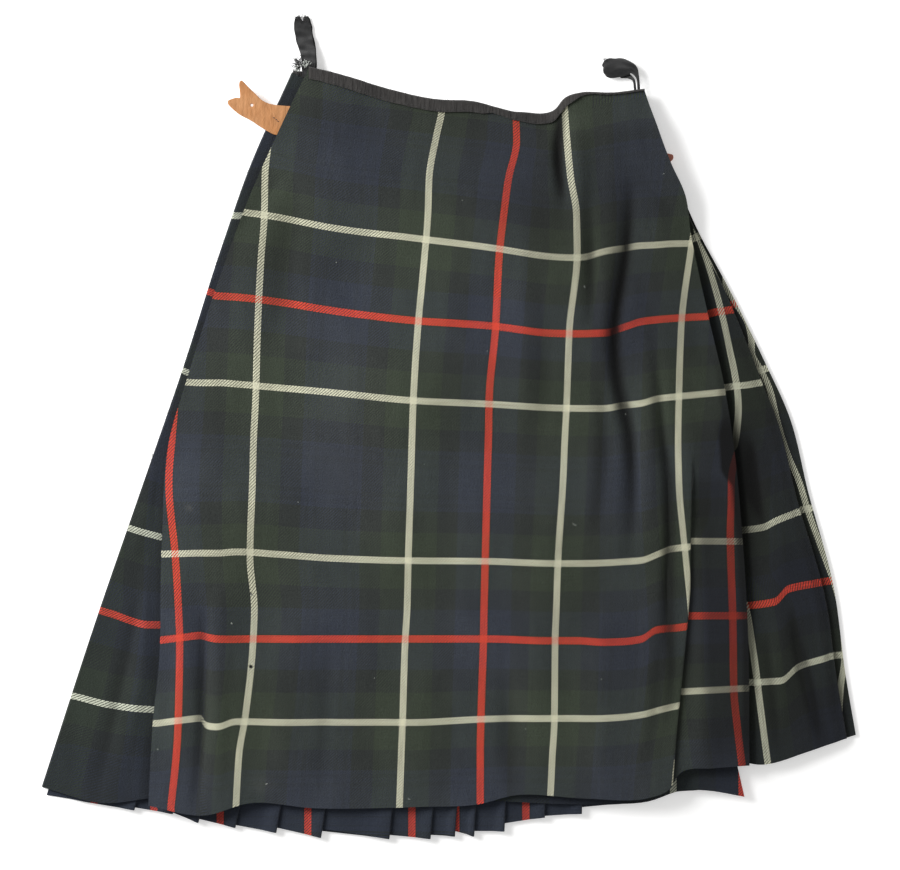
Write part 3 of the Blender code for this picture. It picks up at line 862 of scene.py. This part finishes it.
def outer_apron():
    """The outer apron, with its soft tuck at the right. Returns its rows of points."""
    top = lowered(WAIST, CLOTH_TOP)
    edges = (top, APRON_HEM, side_from(APRON_LEFT, top[0]), side_from(APRON_RIGHT, top[-1]))
    rows, threads, dust_and_shade = [], [], []
    for down in np.linspace(0, 1, APRON_ROWS):
        edge, depth, turn = columns_at(TUCK, down)
        width = np.linalg.norm(np.diff(sheet_points(edges, [0, 1], down), axis=0))
        over, fall = tuck_profile(depth, turn)
        left = edge * np.linspace(0, 1, APRON_COLUMNS)[:-1]
        tuck = edge + over / width
        right = np.linspace(tuck[-1], 1, BEYOND_COLUMNS)[1:]
        across = np.concatenate([left, tuck, right])
        inward = np.maximum(edge - left - (depth + TUCK_CLEAR) / width, 0)
        rise = fall[-1] * smooth_step(1 - inward / TUCK_SLOPE)
        raised = np.concatenate([rise, fall[-1] - fall, np.zeros(len(right))])
        x, y = sheet_points(edges, across, down).T
        relief, shadow = apron_crease(x, y, down)
        on_edge = relief[len(left)]
        clear = ramp(np.abs(across - edge) * width, depth + TUCK_CLEAR, TUCK_CLEAR_FADE)
        relief = on_edge + (relief - on_edge) * clear
        z = height_of(apron_layer(x, y, across)) + raised + relief
        points = np.column_stack([x, y, z])
        path = np.concatenate([[0], np.cumsum(np.linalg.norm(np.diff(points, axis=0), axis=1))])
        end_column = len(left) + len(over) - 1
        beside = np.where(np.arange(len(x)) >= end_column, (across - edge) * width, np.inf)
        deep = np.clip(depth / TUCK_SHADOW_DEPTH, 0, 1)
        shadow += TUCK_SHADOW * bell(beside, TUCK_SHADOW_WIDTH) * deep + right_shade(x, y)
        rows.append(points)
        threads.append(apron_threads(x, y, path, len(left), end_column))
        dust_and_shade.append(np.maximum(dust_and_painted_shade_at(x, y) - shadow, -DARKEST))
    made = shell("outer_apron_cloth", rows, TARTAN, threads, dust_and_shade)
    place_piece(made, "tartan", "outer_apron")
    return np.array(rows)


def under_threads(x, y):
    """Threads of the under apron, eased towards its left edge."""
    apron = side_at(APRON_LEFT, y)
    lines = np.column_stack([apron, 0 * x + UNDER_WHITE[0], 0 * x + UNDER_RED[0]])
    counts = (UNDER_EDGE_THREAD, UNDER_WHITE[1], UNDER_RED[1])
    widest = (UNDER_EDGE_THREAD - LAST_THREAD) * THREAD
    eased = np.maximum((apron - side_at(LEFT_SIDE, y)) / widest, 1)
    warp = threads_between(apron + (x - apron) / np.where(x < apron, eased, 1), lines, counts)
    return np.column_stack([warp, np.maximum(weft_at(UNDER_WEFT, x, y), WEFT_TOP)])


def under_apron():
    """The under apron, with a soft pleat that shows at its left and a rolled left edge."""
    edges = (UNDER_TOP, UNDER_HEM, UNDER_LEFT, UNDER_RIGHT)
    rows, threads, dust_and_shade = [], [], []
    for down in np.linspace(0, 1, UNDER_ROWS):
        ends = sheet_points(edges, [0, 1], down)
        start = EDGE_ROLL / np.linalg.norm(ends[1] - ends[0])
        across = start + (1 - start) * np.linspace(0, 1, UNDER_COLUMNS) ** UNDER_CROWD
        x, y = sheet_points(edges, across, down).T
        beside = side_at(APRON_LEFT, y) - x
        crease = crease_height(x, y, UNDER_CREASES)
        relief = np.maximum(UNDER_RELIEF + crease + unevenness(x, y, *UNDER_WAVES), 0)
        z = height_of(rest_layer(x, y)) + ramp(beside, *UNDER_SHOWN) * relief
        roll = edge_roll(*ends[0], rest_layer(*ends[:1].T)[0])
        points = np.concatenate([roll, np.column_stack([x, y, z])])
        # Painted shade: darker in the troughs, beside the outer apron's left edge and along the
        # rolled edge.
        dark = UNDER_DARK * np.clip(-crease / UNDER_DEPTH, 0, 1)
        dark += UNDER_SHADOW * bell(beside, UNDER_SHADOW_WIDTH)
        rows.append(points)
        threads.append(under_threads(points[:, 0], points[:, 1]))
        dust_and_shade.append(-np.concatenate([np.full(len(roll), ROLL_SHADE), dark]))
    made = shell("under_apron_cloth", rows, TARTAN_INNER, threads, dust_and_shade)
    place_piece(made, "tartan_inner", "under_apron")


def side_threads(x, y, near_count, far_start):
    """Threads of the side pleats, from the shown near strip round the fold to the far strip."""
    near_edge, side_edge = side_at(APRON_RIGHT, y), side_at(RIGHT_SIDE, y)
    far_edge = x[near_count - 1]
    near_part = np.clip((x - near_edge) / (far_edge - near_edge), 0, 1)
    far_part = np.clip((x - far_edge) / np.maximum(side_edge - far_edge, FAR_LEAST), 0, 1)
    strips = []
    for white, weft, part in ((NEAR_WHITE, NEAR_WEFT, near_part), (FAR_WHITE, FAR_WEFT, far_part)):
        warp = SIDE_WHITE_THREAD + (x - table_at(white, y)[:, 0]) / THREAD
        strips.append(np.column_stack([warp, weft_at(weft, part, y)]))
    steps = (np.arange(len(x)) - near_count) / (far_start - near_count)
    return bridged(*strips, near_count, far_start, steps)


def side_pleats():
    """The pleats beside the outer apron: over, back under, and out again to the side."""
    edges = (SIDE_TOP, SIDE_HEM, SIDE_LEFT, SIDE_RIGHT)
    rows, threads, dust_and_shade = [], [], []
    for down in np.linspace(0, 1, SIDE_ROWS):
        under, over = columns_at(SIDE_FOLDS, down)
        near = straight_run(
            0, over, NEAR_COLUMNS, lambda along: 1 + ramp(along, under - CLIMB_BEFORE, CLIMB)
        )
        hidden = straight_run(over, under, HIDDEN_COLUMNS, 1)
        far = straight_run(under, 1, FAR_COLUMNS, 0)
        path = np.concatenate([near, fold_over(over, 2, 1), hidden, fold_over(under, 1, -1), far])
        across, layer, shift = path.T
        column = np.arange(len(path))
        far_start = len(path) - FAR_COLUMNS
        x, y = sheet_points(edges, across, down).T
        near_edge, far_edge = side_at(APRON_RIGHT, y), x[NEAR_COLUMNS - 1]
        clear = ramp(x, near_edge, NEAR_CLEAR) * ramp(x, far_edge, -FOLD_CLEAR)
        clear = np.where(column < NEAR_COLUMNS, clear, 0)
        crease = crease_height(x, y, SIDE_CREASES) * clear
        waves = unevenness(x, y, *SIDE_WAVES) * clear
        relief = np.maximum(SIDE_RELIEF * clear + crease + waves, 0)
        # Painted shade: darker in the gap beside the outer apron, in the troughs and beside the
        # fold.
        darkness, reach = table_at(SIDE_SHADOW, y).T
        dark = darkness * bell(np.maximum(x - near_edge, 0), reach)
        dark += SIDE_DARK * np.clip(-crease / SIDE_DEPTH, 0, 1)
        past = np.where(column >= far_start, np.maximum(x - far_edge, 0), np.inf)
        dark += FOLD_SHADOW * bell(past, FOLD_SHADOW_WIDTH)
        rows.append(np.column_stack([x + shift, y, height_of(rest_layer(x, y) + layer) + relief]))
        threads.append(side_threads(x, y, NEAR_COLUMNS, far_start))
        dust_and_shade.append(-np.clip(dark, 0, SIDE_DARKEST))
    made = shell("side_pleats_cloth", rows, TARTAN_PLEATS, threads, dust_and_shade)
    place_piece(made, "tartan_pleats", "side_pleats")


def back_path():
    """The back's zigzag: fold number, layer, sideways shift, hem height and red stripe's place."""
    last = len(BACK_FOLDS) - 1
    stair = 1 - STAIR_FOOT
    parts = []
    for fold in range(2, last + 1):
        _, start_y, end_y, red_x = BACK_FOLDS[fold]
        second = 1 if fold < last - 1 else 0

        def climb(along):
            next_stair = second * ramp(along - 1, STAIR_FOOT, stair)
            return 2 * (ramp(along, STAIR_FOOT, stair) + next_stair)

        if fold == last:
            runs = [(straight_run(0, 2, TAIL_COLUMNS, 0), start_y)]
        else:
            next_start = 2 * BACK_FOLDS[fold + 1][1] - BACK_FOLDS[fold + 1][2]
            runs = [
                (straight_run(0, 2, STRIP_COLUMNS, climb), start_y),
                (fold_over(2, 2 + 2 * second, 1), start_y),
                (straight_run(2, 1, HIDDEN_COLUMNS, lambda along: climb(along) - 1), next_start),
                (fold_over(1, 1, -1), next_start),
            ]
        for run, from_y in runs:
            along, layer, shift = run.T
            hem_y = end_y - (end_y - from_y) * (2 - along)
            parts.append([fold - 2 + along, layer, shift, hem_y, 0 * along + red_x])
    return np.concatenate(parts, axis=1)


def pleated_back():
    """The back's knife pleats, seen from inside along the hem."""
    number, layer, shift, hem_y, red_x = back_path()
    fold_x = np.array(BACK_FOLDS, float)[:, 0]
    across = (np.interp(number, range(len(fold_x)), fold_x) - fold_x[0]) / np.ptp(fold_x)
    hem = [(x, end_y) for x, _, end_y, _ in BACK_FOLDS]
    top = lowered(BACK_WAIST, BAND_DEPTH + PLEATS_BELOW)
    edges = (top, hem, side_from(LEFT_SIDE, top[0]), side_from(RIGHT_SIDE, top[-1]))
    rows, threads = [], []
    even = np.linspace(0, 1, BACK_ROWS)
    for down in (smooth_step(even) + even) / 2:
        x, y = sheet_points(edges, across, down).T
        x, y = x + shift, y + down * (hem_y - curve_at(hem, across)[:, 1])
        x = np.clip(x, side_at(LEFT_SIDE, y) + EDGE_ROLL, side_at(RIGHT_SIDE, y) - EDGE_ROLL)
        rows.append(np.column_stack([x, y, height_of(layer)]))
        warp = np.clip((x - red_x) / THREAD, -BACK_CLEAR, BACK_CLEAR)
        threads.append(np.column_stack([warp, BACK_MIDDLE[0] + (BACK_MIDDLE[1] - y) / THREAD]))
    made = shell("pleated_back_cloth", rows, TARTAN_BACK, threads)
    place_piece(made, "tartan_pleats", "pleated_back")


def band(name, line, half, node, shown, seed):
    """A binding folded over a line, gathered a little, with an uneven lower edge."""
    x, y, z = line.T
    rise = half * LAYER
    first, second = (unevenness(x, y, seed + n, *waves) for n, waves in enumerate(BAND_CRINKLES))
    crinkle = first + second
    ripple = unevenness(x, y, seed + 2, *BAND_RIPPLES)
    gathered = np.clip((shown - GATHERED[0]) / GATHERED[1], 0, 1)
    depth = np.maximum(shown + BAND_UNEVEN * crinkle * gathered, rise + BAND_LEAST)
    rows = []
    for part in np.linspace(1, 0, BAND_ROWS):
        puff = BAND_PUFF * np.maximum(crinkle, 0) * part
        lift = rise + BAND_OVER + puff + BAND_RIPPLED * ripple
        rows.append(np.column_stack([x, y - (rise + part * (depth - rise)), z + lift]))
    for angle in np.radians(np.linspace(90, -90, BAND_TURN)):
        out = rise * np.cos(angle) + BAND_TURNED * ripple * np.cos(angle)
        lift = (rise + BAND_OVER) * np.sin(angle) + BAND_RIPPLED * ripple * np.sin(angle)
        rows.append(np.column_stack([x, y - rise + out, z + lift]))
    for drop in np.linspace(rise, BAND_DEPTH, BAND_ROWS):
        rows.append(np.column_stack([x, y - drop, z - rise]))
    made = shell(name, rows, BAND, thickness=BAND_CLOTH)
    place_piece(made, "band", node)
    return np.array(rows)


def waistbands(apron_top):
    """One band on the outer apron's top edge, and one over the ends of the pleats."""
    along = np.linspace(0, 1, BAND_COLUMNS)
    spread = np.linspace(0, 1, len(apron_top))
    line = np.column_stack([np.interp(along, spread, column) for column in apron_top.T])
    line += np.array([0, CLOTH_TOP, 0])
    shown = table_at(BAND_SHOWN, line[:, 0])[:, 0]
    front = band("waistband_front_cloth", line, 1, "waistband_front", shown, 11)
    line = np.column_stack([curve_at(BACK_WAIST, along), np.full(BAND_COLUMNS, height_of(2))])
    shown = np.full(BAND_COLUMNS, BAND_DEPTH)
    band("waistband_back_cloth", line, 2, "waistband_back", shown, 15)
    return front


# ---- straps, loops and loose threads

STRAP_LEFT = (
    # x, y
    (-166, 276), (-163, 273.6), (-159, 269), (-154, 264.4), (-150, 260), (-145, 257.2),
    (-138, 255.6), (-127, 254.8), (-116, 254), (-124, 229), (-136, 231.4), (-140.4, 232.4),
    (-146, 235.6), (-151.6, 239), (-158, 243.6), (-167, 247.8), (-172.4, 252.4), (-176.6, 256.4),
    (-176.8, 259.4), (-174, 260.6), (-169.2, 262), (-166.6, 261), (-166.8, 266), (-167.8, 273),
)
STRAP_HOLE = (-157.2, 255.6, 1.2)  # x, y, radius
STRAP_LEFT_MIDDLE = 9.0
STRAP_RIGHT = (
    (176.5, 217), (178.4, 216), (178.2, 212.6), (176, 211), (175.4, 208), (172, 206.5), (150, 206),
    (136, 214), (140, 229), (165, 219),
)
STRAP_RIGHT_MIDDLE = 7.6
LEATHER_THICK = 2.0
LEATHER_EDGE = 0.5
STRAP_DROOP = 0.0016  # how much lower the strap is for each square millimetre beyond the cloth
STRAP_HELD = -150
STRAP_SLICE = 2.5
HOLE_SIDES = 16

RIBBON_THICK = 0.45
RIBBON_LENGTH, RIBBON_WIDTH = 60, 16
RIBBON_EDGE, RIBBON_CREASE = (14, 0.10), (9, 0.9)  # length and height of the waves
RIBBON_END, RIBBON_DOME = (0.82, 0.18), (0.4, 0.2)  # where along it they start, and how far on
RIBBON_SOFT = 4  # the half width from which the creases are full
UNDER_LOOP = (1.0, -1.1)  # how far right and down the left loop's lower length lies
LOOP_LEFT = (
    # x, y, z, half_width
    (-112.5, 278, 8.0, 5.0), (-112.2, 286, 8.2, 5.4), (-112.6, 294, 6.6, 5.8),
    (-114.4, 304, 4.2, 6.3), (-116.4, 311, 2.8, 6.6), (-117.6, 319, 2.4, 6.8),
    (-117.8, 327, 2.6, 5.6),
)
LOOP_LEFT_TIP = (-1.6, 0.4, 1.0, 0.2, -2.6, -3.2, -0.8, 1.2, -0.4, -2.8)
LOOP_RIGHT = (
    (150.8, 262, 7.4, 1.1), (150.7, 270, 7.4, 1.1), (149.6, 279, 6.4, 1.4),
    (146.4, 284.6, 5.2, 3.8), (140, 286, 4.6, 6.6), (133, 286.3, 4.2, 7.8),
    (127, 286, 3.6, 7.6), (124.4, 285.6, 3.0, 6.4), (122.8, 285.4, 2.2, 4.0),
)
LOOP_RIGHT_TIP = (-0.6, 0, 0.2, 0.3, 0.2, 0, -0.2, 0.2, 0.6, 0.2)
LOOP_INNER = (
    (148.2, 262, 7.2, 1.0), (147.8, 270, 7.0, 1.0), (146.6, 276.4, 5.6, 1.1),
    (143.4, 279.4, 3.6, 1.8), (137, 281, 2.4, 2.6),
)


def softened(points):
    """An outline with its corners cut twice, so that they are slightly round."""
    points = np.array(points, float)
    for _ in range(2):
        after = np.roll(points, -1, axis=0)
        points = np.stack([0.75 * points + 0.25 * after, 0.25 * points + 0.75 * after], axis=1)
        points = points.reshape(-1, 2)
    return points


def leather_plate(name, slot, node, outline, middle, finish, hole=None):
    """A strap end cut from leather, with worn edges, that droops a little where it is free."""
    loops = [softened(outline)]
    if hole:
        x, y, radius = hole
        turn = np.linspace(0, 2 * np.pi, HOLE_SIDES, endpoint=False)
        loops.append(np.column_stack([x + radius * np.cos(turn), y + radius * np.sin(turn)]))
    curve = bpy.data.curves.new(name, "CURVE")
    curve.dimensions = "2D"
    curve.fill_mode = "BOTH"
    curve.extrude = (LEATHER_THICK / 2 - LEATHER_EDGE) * MM
    curve.bevel_depth = LEATHER_EDGE * MM
    curve.offset = -LEATHER_EDGE * MM
    curve.bevel_resolution = 2
    for loop in loops:
        spline = curve.splines.new("POLY")
        spline.points.add(len(loop) - 1)
        for point, (x, y) in zip(spline.points, loop * MM):
            point.co = (x, y, 0, 1)
        spline.use_cyclic_u = True
    drawn = add_object(name, curve)
    shaped = drawn.evaluated_get(bpy.context.evaluated_depsgraph_get())
    mesh = bpy.data.meshes.new_from_object(shaped)
    bpy.data.objects.remove(drawn)
    form = bmesh.new()
    form.from_mesh(mesh)
    bmesh.ops.remove_doubles(form, verts=form.verts, dist=1e-6)
    for x in np.arange(loops[0][:, 0].min() + LEATHER_THICK, loops[0][:, 0].max(), STRAP_SLICE):
        parts = form.verts[:] + form.edges[:] + form.faces[:]
        bmesh.ops.bisect_plane(form, geom=parts, plane_co=(x * MM, 0, 0), plane_no=(1, 0, 0))
    for vert in form.verts:
        free = max(STRAP_HELD - vert.co.x / MM, 0)
        vert.co.z += (middle - STRAP_DROOP * free * free) * MM
    form.to_mesh(mesh)
    form.free()
    mesh.shade_smooth()
    mesh.set_sharp_from_angle(angle=np.radians(40))
    mesh.materials.clear()
    mesh.materials.append(finish)
    return place_piece(add_object(name, mesh), slot, node)


def ribbon(name, node, stations, tip, seed, dome=0.0):
    """A creased ribbon along stations, its free end cut unevenly."""
    along = np.linspace(0, 1, RIBBON_ROWS)
    line = curve_at(stations, along)
    heading = np.gradient(line[:, :2], axis=0)
    heading /= np.linalg.norm(heading, axis=1)[:, None]
    square = np.column_stack([heading[:, 1], -heading[:, 0]])
    full = np.clip(line[:, 3] / RIBBON_SOFT, 0, 1)
    sides = np.linspace(-1, 1, RIBBON_COLUMNS)
    tips = np.interp(np.linspace(0, 1, RIBBON_COLUMNS), np.linspace(0, 1, len(tip)), tip)
    length = along * RIBBON_LENGTH
    rows = []
    for side, end in zip(sides, tips):
        wobble = unevenness(length + 7 * side, along * 0, seed, *RIBBON_EDGE)
        place = line[:, :2] + square * (line[:, 3:] * side * (1 + wobble[:, None]))
        place += heading * (end * ramp(along, *RIBBON_END))[:, None]
        across = np.full(RIBBON_ROWS, RIBBON_WIDTH * side)
        crease = unevenness(length, across, seed + 1, *RIBBON_CREASE)
        bulge = dome * (1 - side * side) * ramp(along, *RIBBON_DOME)
        rows.append(np.column_stack([place, line[:, 2] + crease * full + bulge]))
    return place_piece(shell(name, rows, RIBBON, thickness=RIBBON_THICK), "ribbon", node)


class Strands:
    """Many thin tubes joined in one mesh."""

    def __init__(self):
        self.points, self.faces, self.size = [], [], 0

    def add(self, line, radius, sides=5):
        line = np.array(line, float)
        heading = np.gradient(line, axis=0)
        heading /= np.maximum(np.linalg.norm(heading, axis=1), 1e-9)[:, None]
        across = np.cross(heading, (0.13, 0.21, 1.0))
        across /= np.linalg.norm(across, axis=1)[:, None]
        over = np.cross(across, heading)
        turn = np.linspace(0, 2 * np.pi, sides, endpoint=False)[:, None]
        thin = radius * np.interp(np.linspace(0, 1, len(line)), (0, 0.2, 0.8, 1), (0.4, 1, 1, 0.4))
        for centre, right, up, size in zip(line, across, over, thin):
            self.points.append(centre + size * (np.cos(turn) * right + np.sin(turn) * up))
        ring = np.arange(sides)
        for number in range(len(line) - 1):
            low = self.size + number * sides + ring
            after = self.size + number * sides + (ring + 1) % sides
            self.faces += np.column_stack([low, after, after + sides, low + sides]).tolist()
        last = self.size + (len(line) - 1) * sides
        self.faces.append((self.size + ring[::-1]).tolist())
        self.faces.append((last + ring).tolist())
        self.size += len(line) * sides

    def finish(self, name, finish):
        mesh = bpy.data.meshes.new(name)
        mesh.from_pydata((np.concatenate(self.points) * MM).tolist(), [], self.faces)
        mesh.shade_smooth()
        mesh.materials.append(finish)
        return place_piece(add_object(name, mesh), None)


def curl(draw, start, heading, length, bend, rise=0.0, steps=7):
    """The line of a loose thread that wanders from its start."""
    angle = np.arctan2(heading[1], heading[0]) + np.cumsum(draw.normal(0, bend, steps))
    step = length / steps
    away = np.cumsum(np.column_stack([np.cos(angle), np.sin(angle)]) * step, axis=0)
    height = rise * np.sin(np.linspace(0, np.pi, steps))
    line = np.column_stack([away, height]) + np.array(start)
    return np.concatenate([[start], line])


def top_at(surface, x, y):
    """The height of a sheet's middle nearest to a place."""
    flat = surface.reshape(-1, 3)
    near = np.hypot(flat[:, 0] - x, flat[:, 1] - y).argmin()
    return flat[near, 2]


STRAP_STITCHES = ((-139.6, 245.4), (-137.8, 244.0), (-136.4, 242.6))
LINT_LIFT = 0.75
# Specks of lint on the outer apron.
LINT = (
    # x, y, length
    (-173, -157, 1.8), (-105, 159, 1.4), (-146, -285, 1.8), (-231, -256, 1.2), (99, -78, 2.4),
    (107, 111, 1.3), (-32, -296, 1.6), (-158, -134, 1.6), (-156, -188, 1.8), (-160, -193, 1.4),
    (30, 60, 0.8), (-60, -200, 0.9), (-120, -60, 0.8), (60, -240, 0.9), (140, 10, 0.8),
    (-90, 130, 0.9), (10, 180, 0.8), (-20, -30, 0.7), (170, 200, 0.9), (120, -200, 0.8),
)


def tuft(strands, draw, start, heading, lengths, bend, rise, radius):
    """One more loose thread, its length drawn between two."""
    strands.add(curl(draw, start, heading, draw.uniform(*lengths), bend, rise), radius)


def lint(apron):
    """Pale specks on the outer apron, and pale fluff at the left loop."""
    draw = np.random.default_rng(21)
    pale = Strands()
    for x, y, length in LINT:
        start = (x, y, top_at(apron, x, y) + LINT_LIFT)
        for _ in range(2):
            heading = draw.normal(0, 1, 2)
            size = length * draw.uniform(0.7, 1.3)
            pale.add(curl(draw, start, heading, size, 0.6, 0.3), 0.07 + 0.04 * length)
    for _ in range(20):
        x, y = draw.normal(-114.8, 1.5), draw.normal(287.4, 1.2)
        start = (x, y, 9.6 + draw.uniform(0, 1.6))
        tuft(pale, draw, start, draw.normal(0, 1, 2), (1.5, 3.5), 0.9, 0.8, 0.22)
    for _ in range(8):
        start = (draw.normal(-121.5, 1.2), draw.normal(284.5, 1.2), 9.0)
        tuft(pale, draw, start, draw.normal(0, 1, 2), (1.5, 4), 0.6, 0.8, 0.18)
    pale.add(curl(draw, (-143, 273, 2.0), (0.5, -0.8), 9, 0.25, 1.0), 0.14)
    pale.finish("lint", PALE_YARN)


def loose_yarn(front_band):
    """Frayed ends of dark yarn along the left edge, the loops and the waist."""
    draw = np.random.default_rng(22)
    dark = Strands()
    for _ in range(150):
        y = draw.uniform(-60, 268)
        start = (side_at(LEFT_SIDE, y) + 1.2, y, draw.uniform(1.5, 3.5))
        tuft(dark, draw, start, (-1, draw.normal(0.2, 0.7)), (1.6, 4.2), 0.35, 0.4, 0.09)
    for _ in range(90):
        side = draw.uniform(-1, 1)
        start = (-117.8 + 5.4 * side, draw.uniform(322, 326.5), draw.uniform(2.0, 3.2))
        heading = (draw.normal(0, 0.35) + 0.2 * side, 1)
        tuft(dark, draw, start, heading, (1.5, 4.5), 0.3, 0.3, 0.14)
    for _ in range(70):
        start = (draw.normal(-119.8, 1.4), draw.normal(286.5, 2.6), draw.uniform(6.0, 8.2))
        heading = (draw.normal(-0.5, 0.6), draw.normal(0.9, 0.5))
        tuft(dark, draw, start, heading, (2, 5.5), 0.4, 0.5, 0.3)
    for _ in range(20):
        start = (draw.normal(125, 1.4), draw.normal(292, 0.8), draw.uniform(3, 4.5))
        tuft(dark, draw, start, (draw.normal(-0.4, 0.6), 1), (1.2, 3), 0.4, 0.2, 0.13)
    for _ in range(60):
        column = draw.integers(3, front_band.shape[1] - 3)
        x, y, z = front_band[draw.integers(5, 10), column]
        tuft(dark, draw, (x, y, z + 0.2), (draw.normal(0, 1), 0.6), (1, 2.6), 0.5, 0.3, 0.08)
    dark.finish("loose_yarn", DARK_YARN)


def stitches(front_band):
    """Hand stitches along the band's lower edge, and the strap's."""
    draw = np.random.default_rng(23)
    sewn = Strands()
    row = front_band[1]
    column = 4
    while column < len(row) - 5:
        step = draw.integers(2, 4)
        start, end = row[column], row[column + step]
        lift = np.array([0, draw.normal(0, 0.25), 0.42])
        middle = (start + end) / 2 + lift + np.array([0, 0, 0.15])
        sewn.add([start + lift, middle, end + lift - np.array([0, 0.3, 0.1])], 0.2)
        column += step + draw.integers(1, 4)
    for x, y in STRAP_STITCHES:
        z = STRAP_LEFT_MIDDLE + LEATHER_THICK / 2
        sewn.add([(x - 0.8, y + 0.5, z), (x, y, z + 0.2), (x + 0.8, y - 0.3, z)], 0.35)
    sewn.finish("stitches", DARK_YARN)


def straps_and_loops():
    """The ends of the two straps, and the two hanging loops of two lengths each."""
    left = leather_plate(
        "strap_left_leather", "leather", "strap_left",
        STRAP_LEFT, STRAP_LEFT_MIDDLE, LEATHER, STRAP_HOLE,
    )
    right = leather_plate(
        "strap_right_leather", "red_leather", "strap_right",
        STRAP_RIGHT, STRAP_RIGHT_MIDDLE, RED_LEATHER,
    )
    right_by, up_by = UNDER_LOOP
    under = [(x + right_by, y, z + up_by, half) for x, y, z, half in LOOP_LEFT]
    first = ribbon("loop_left_ribbon", "loop_left", LOOP_LEFT, LOOP_LEFT_TIP, 31)
    second = ribbon("loop_left_under", "loop_left", under, LOOP_LEFT_TIP[::-1], 35)
    outer = ribbon("loop_right_ribbon", "loop_right", LOOP_RIGHT, LOOP_RIGHT_TIP, 41, dome=1.4)
    inner = ribbon("loop_right_under", "loop_right", LOOP_INNER, LOOP_RIGHT_TIP, 45)


# ---- floor, light and camera

def floor():
    """A wide pale floor that glows a little, like a white sheet of paper."""
    finish = Finish("floor", roughness=0.7)
    faint = finish.noise(finish.place(), 3, 2)
    shown = finish.mix(faint, (0.93, 0.93, 0.93, 1), (0.95, 0.95, 0.95, 1))
    finish.shader.inputs["Emission Color"].default_value = (1, 1, 1, 1)
    finish.shader.inputs["Emission Strength"].default_value = FLOOR_GLOW
    finish.finish(shown, finish.bump(faint, 0.0001))
    mesh = bpy.data.meshes.new("floor")
    corners = ((-1, -1), (1, -1), (1, 1), (-1, 1))
    points = [(x * FLOOR_HALF, y * FLOOR_HALF, FLOOR_Z) for x, y in corners]
    mesh.from_pydata(points, [], [(0, 1, 2, 3)])
    mesh.materials.append(finish.material)
    add_object("floor", mesh)


def lights():
    """A pale room with one soft window to the upper left."""
    world = bpy.data.worlds.new("studio")
    world.use_nodes = True
    room = world.node_tree.nodes["Background"].inputs
    room["Color"].default_value = ROOM_COLOUR
    room["Strength"].default_value = ROOM_STRENGTH
    bpy.context.scene.world = world
    lamp = bpy.data.lights.new("window", "AREA")
    lamp.size = WINDOW_SIZE
    lamp.energy = WINDOW_POWER
    window = add_object("window", lamp)
    window.location = WINDOW_PLACE
    window.rotation_euler = (-Vector(WINDOW_PLACE)).to_track_quat("-Z", "Y").to_euler()
    bpy.context.scene.view_settings.view_transform = "Standard"


def camera():
    """A camera straight above, far enough away to see the view's width."""
    made = bpy.data.cameras.new("camera")
    made.lens = LENS
    made.sensor_width = SENSOR
    made.clip_end = 50
    eye = add_object("camera", made)
    eye.location = (*VIEW_MIDDLE, VIEW_WIDTH * LENS / SENSOR)
    bpy.context.scene.camera = eye


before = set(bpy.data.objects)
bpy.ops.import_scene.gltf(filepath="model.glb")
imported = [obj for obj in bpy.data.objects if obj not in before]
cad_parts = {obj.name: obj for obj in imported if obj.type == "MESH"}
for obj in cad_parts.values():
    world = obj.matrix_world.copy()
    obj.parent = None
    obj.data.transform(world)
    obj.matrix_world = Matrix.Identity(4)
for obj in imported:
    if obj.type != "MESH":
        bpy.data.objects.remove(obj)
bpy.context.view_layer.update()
camera()
lights()
floor()
# The same tartan on each layer, its ground painted darker by its second value on the under apron,
# side pleats and back: painted shade.
TARTAN = tartan("tartan", 1.03, 0.0, HOLES)
TARTAN_INNER = tartan("tartan_inner", 0.62, 0.3)
TARTAN_PLEATS = tartan("tartan_pleats", 0.44, 0.12)
TARTAN_BACK = tartan("tartan_back", 0.80, 0.35)
BAND = band_cloth()
LEATHER = leather("leather", (0.37, 0.155, 0.053), (0.50, 0.26, 0.12))
RED_LEATHER = leather("red_leather", (0.40, 0.12, 0.09), (0.60, 0.25, 0.18))
RIBBON = ribbon_cloth()
DARK_YARN = yarn_cloth("dark_yarn", (0.012, 0.012, 0.014), (0.06, 0.06, 0.06))
PALE_YARN = yarn_cloth("pale_yarn", (0.26, 0.29, 0.26), (0.62, 0.64, 0.60))
pleated_back()
under_apron()
side_pleats()
apron = outer_apron()
front_band = waistbands(apron[0])
straps_and_loops()
stitches(front_band)
lint(apron)
loose_yarn(front_band)
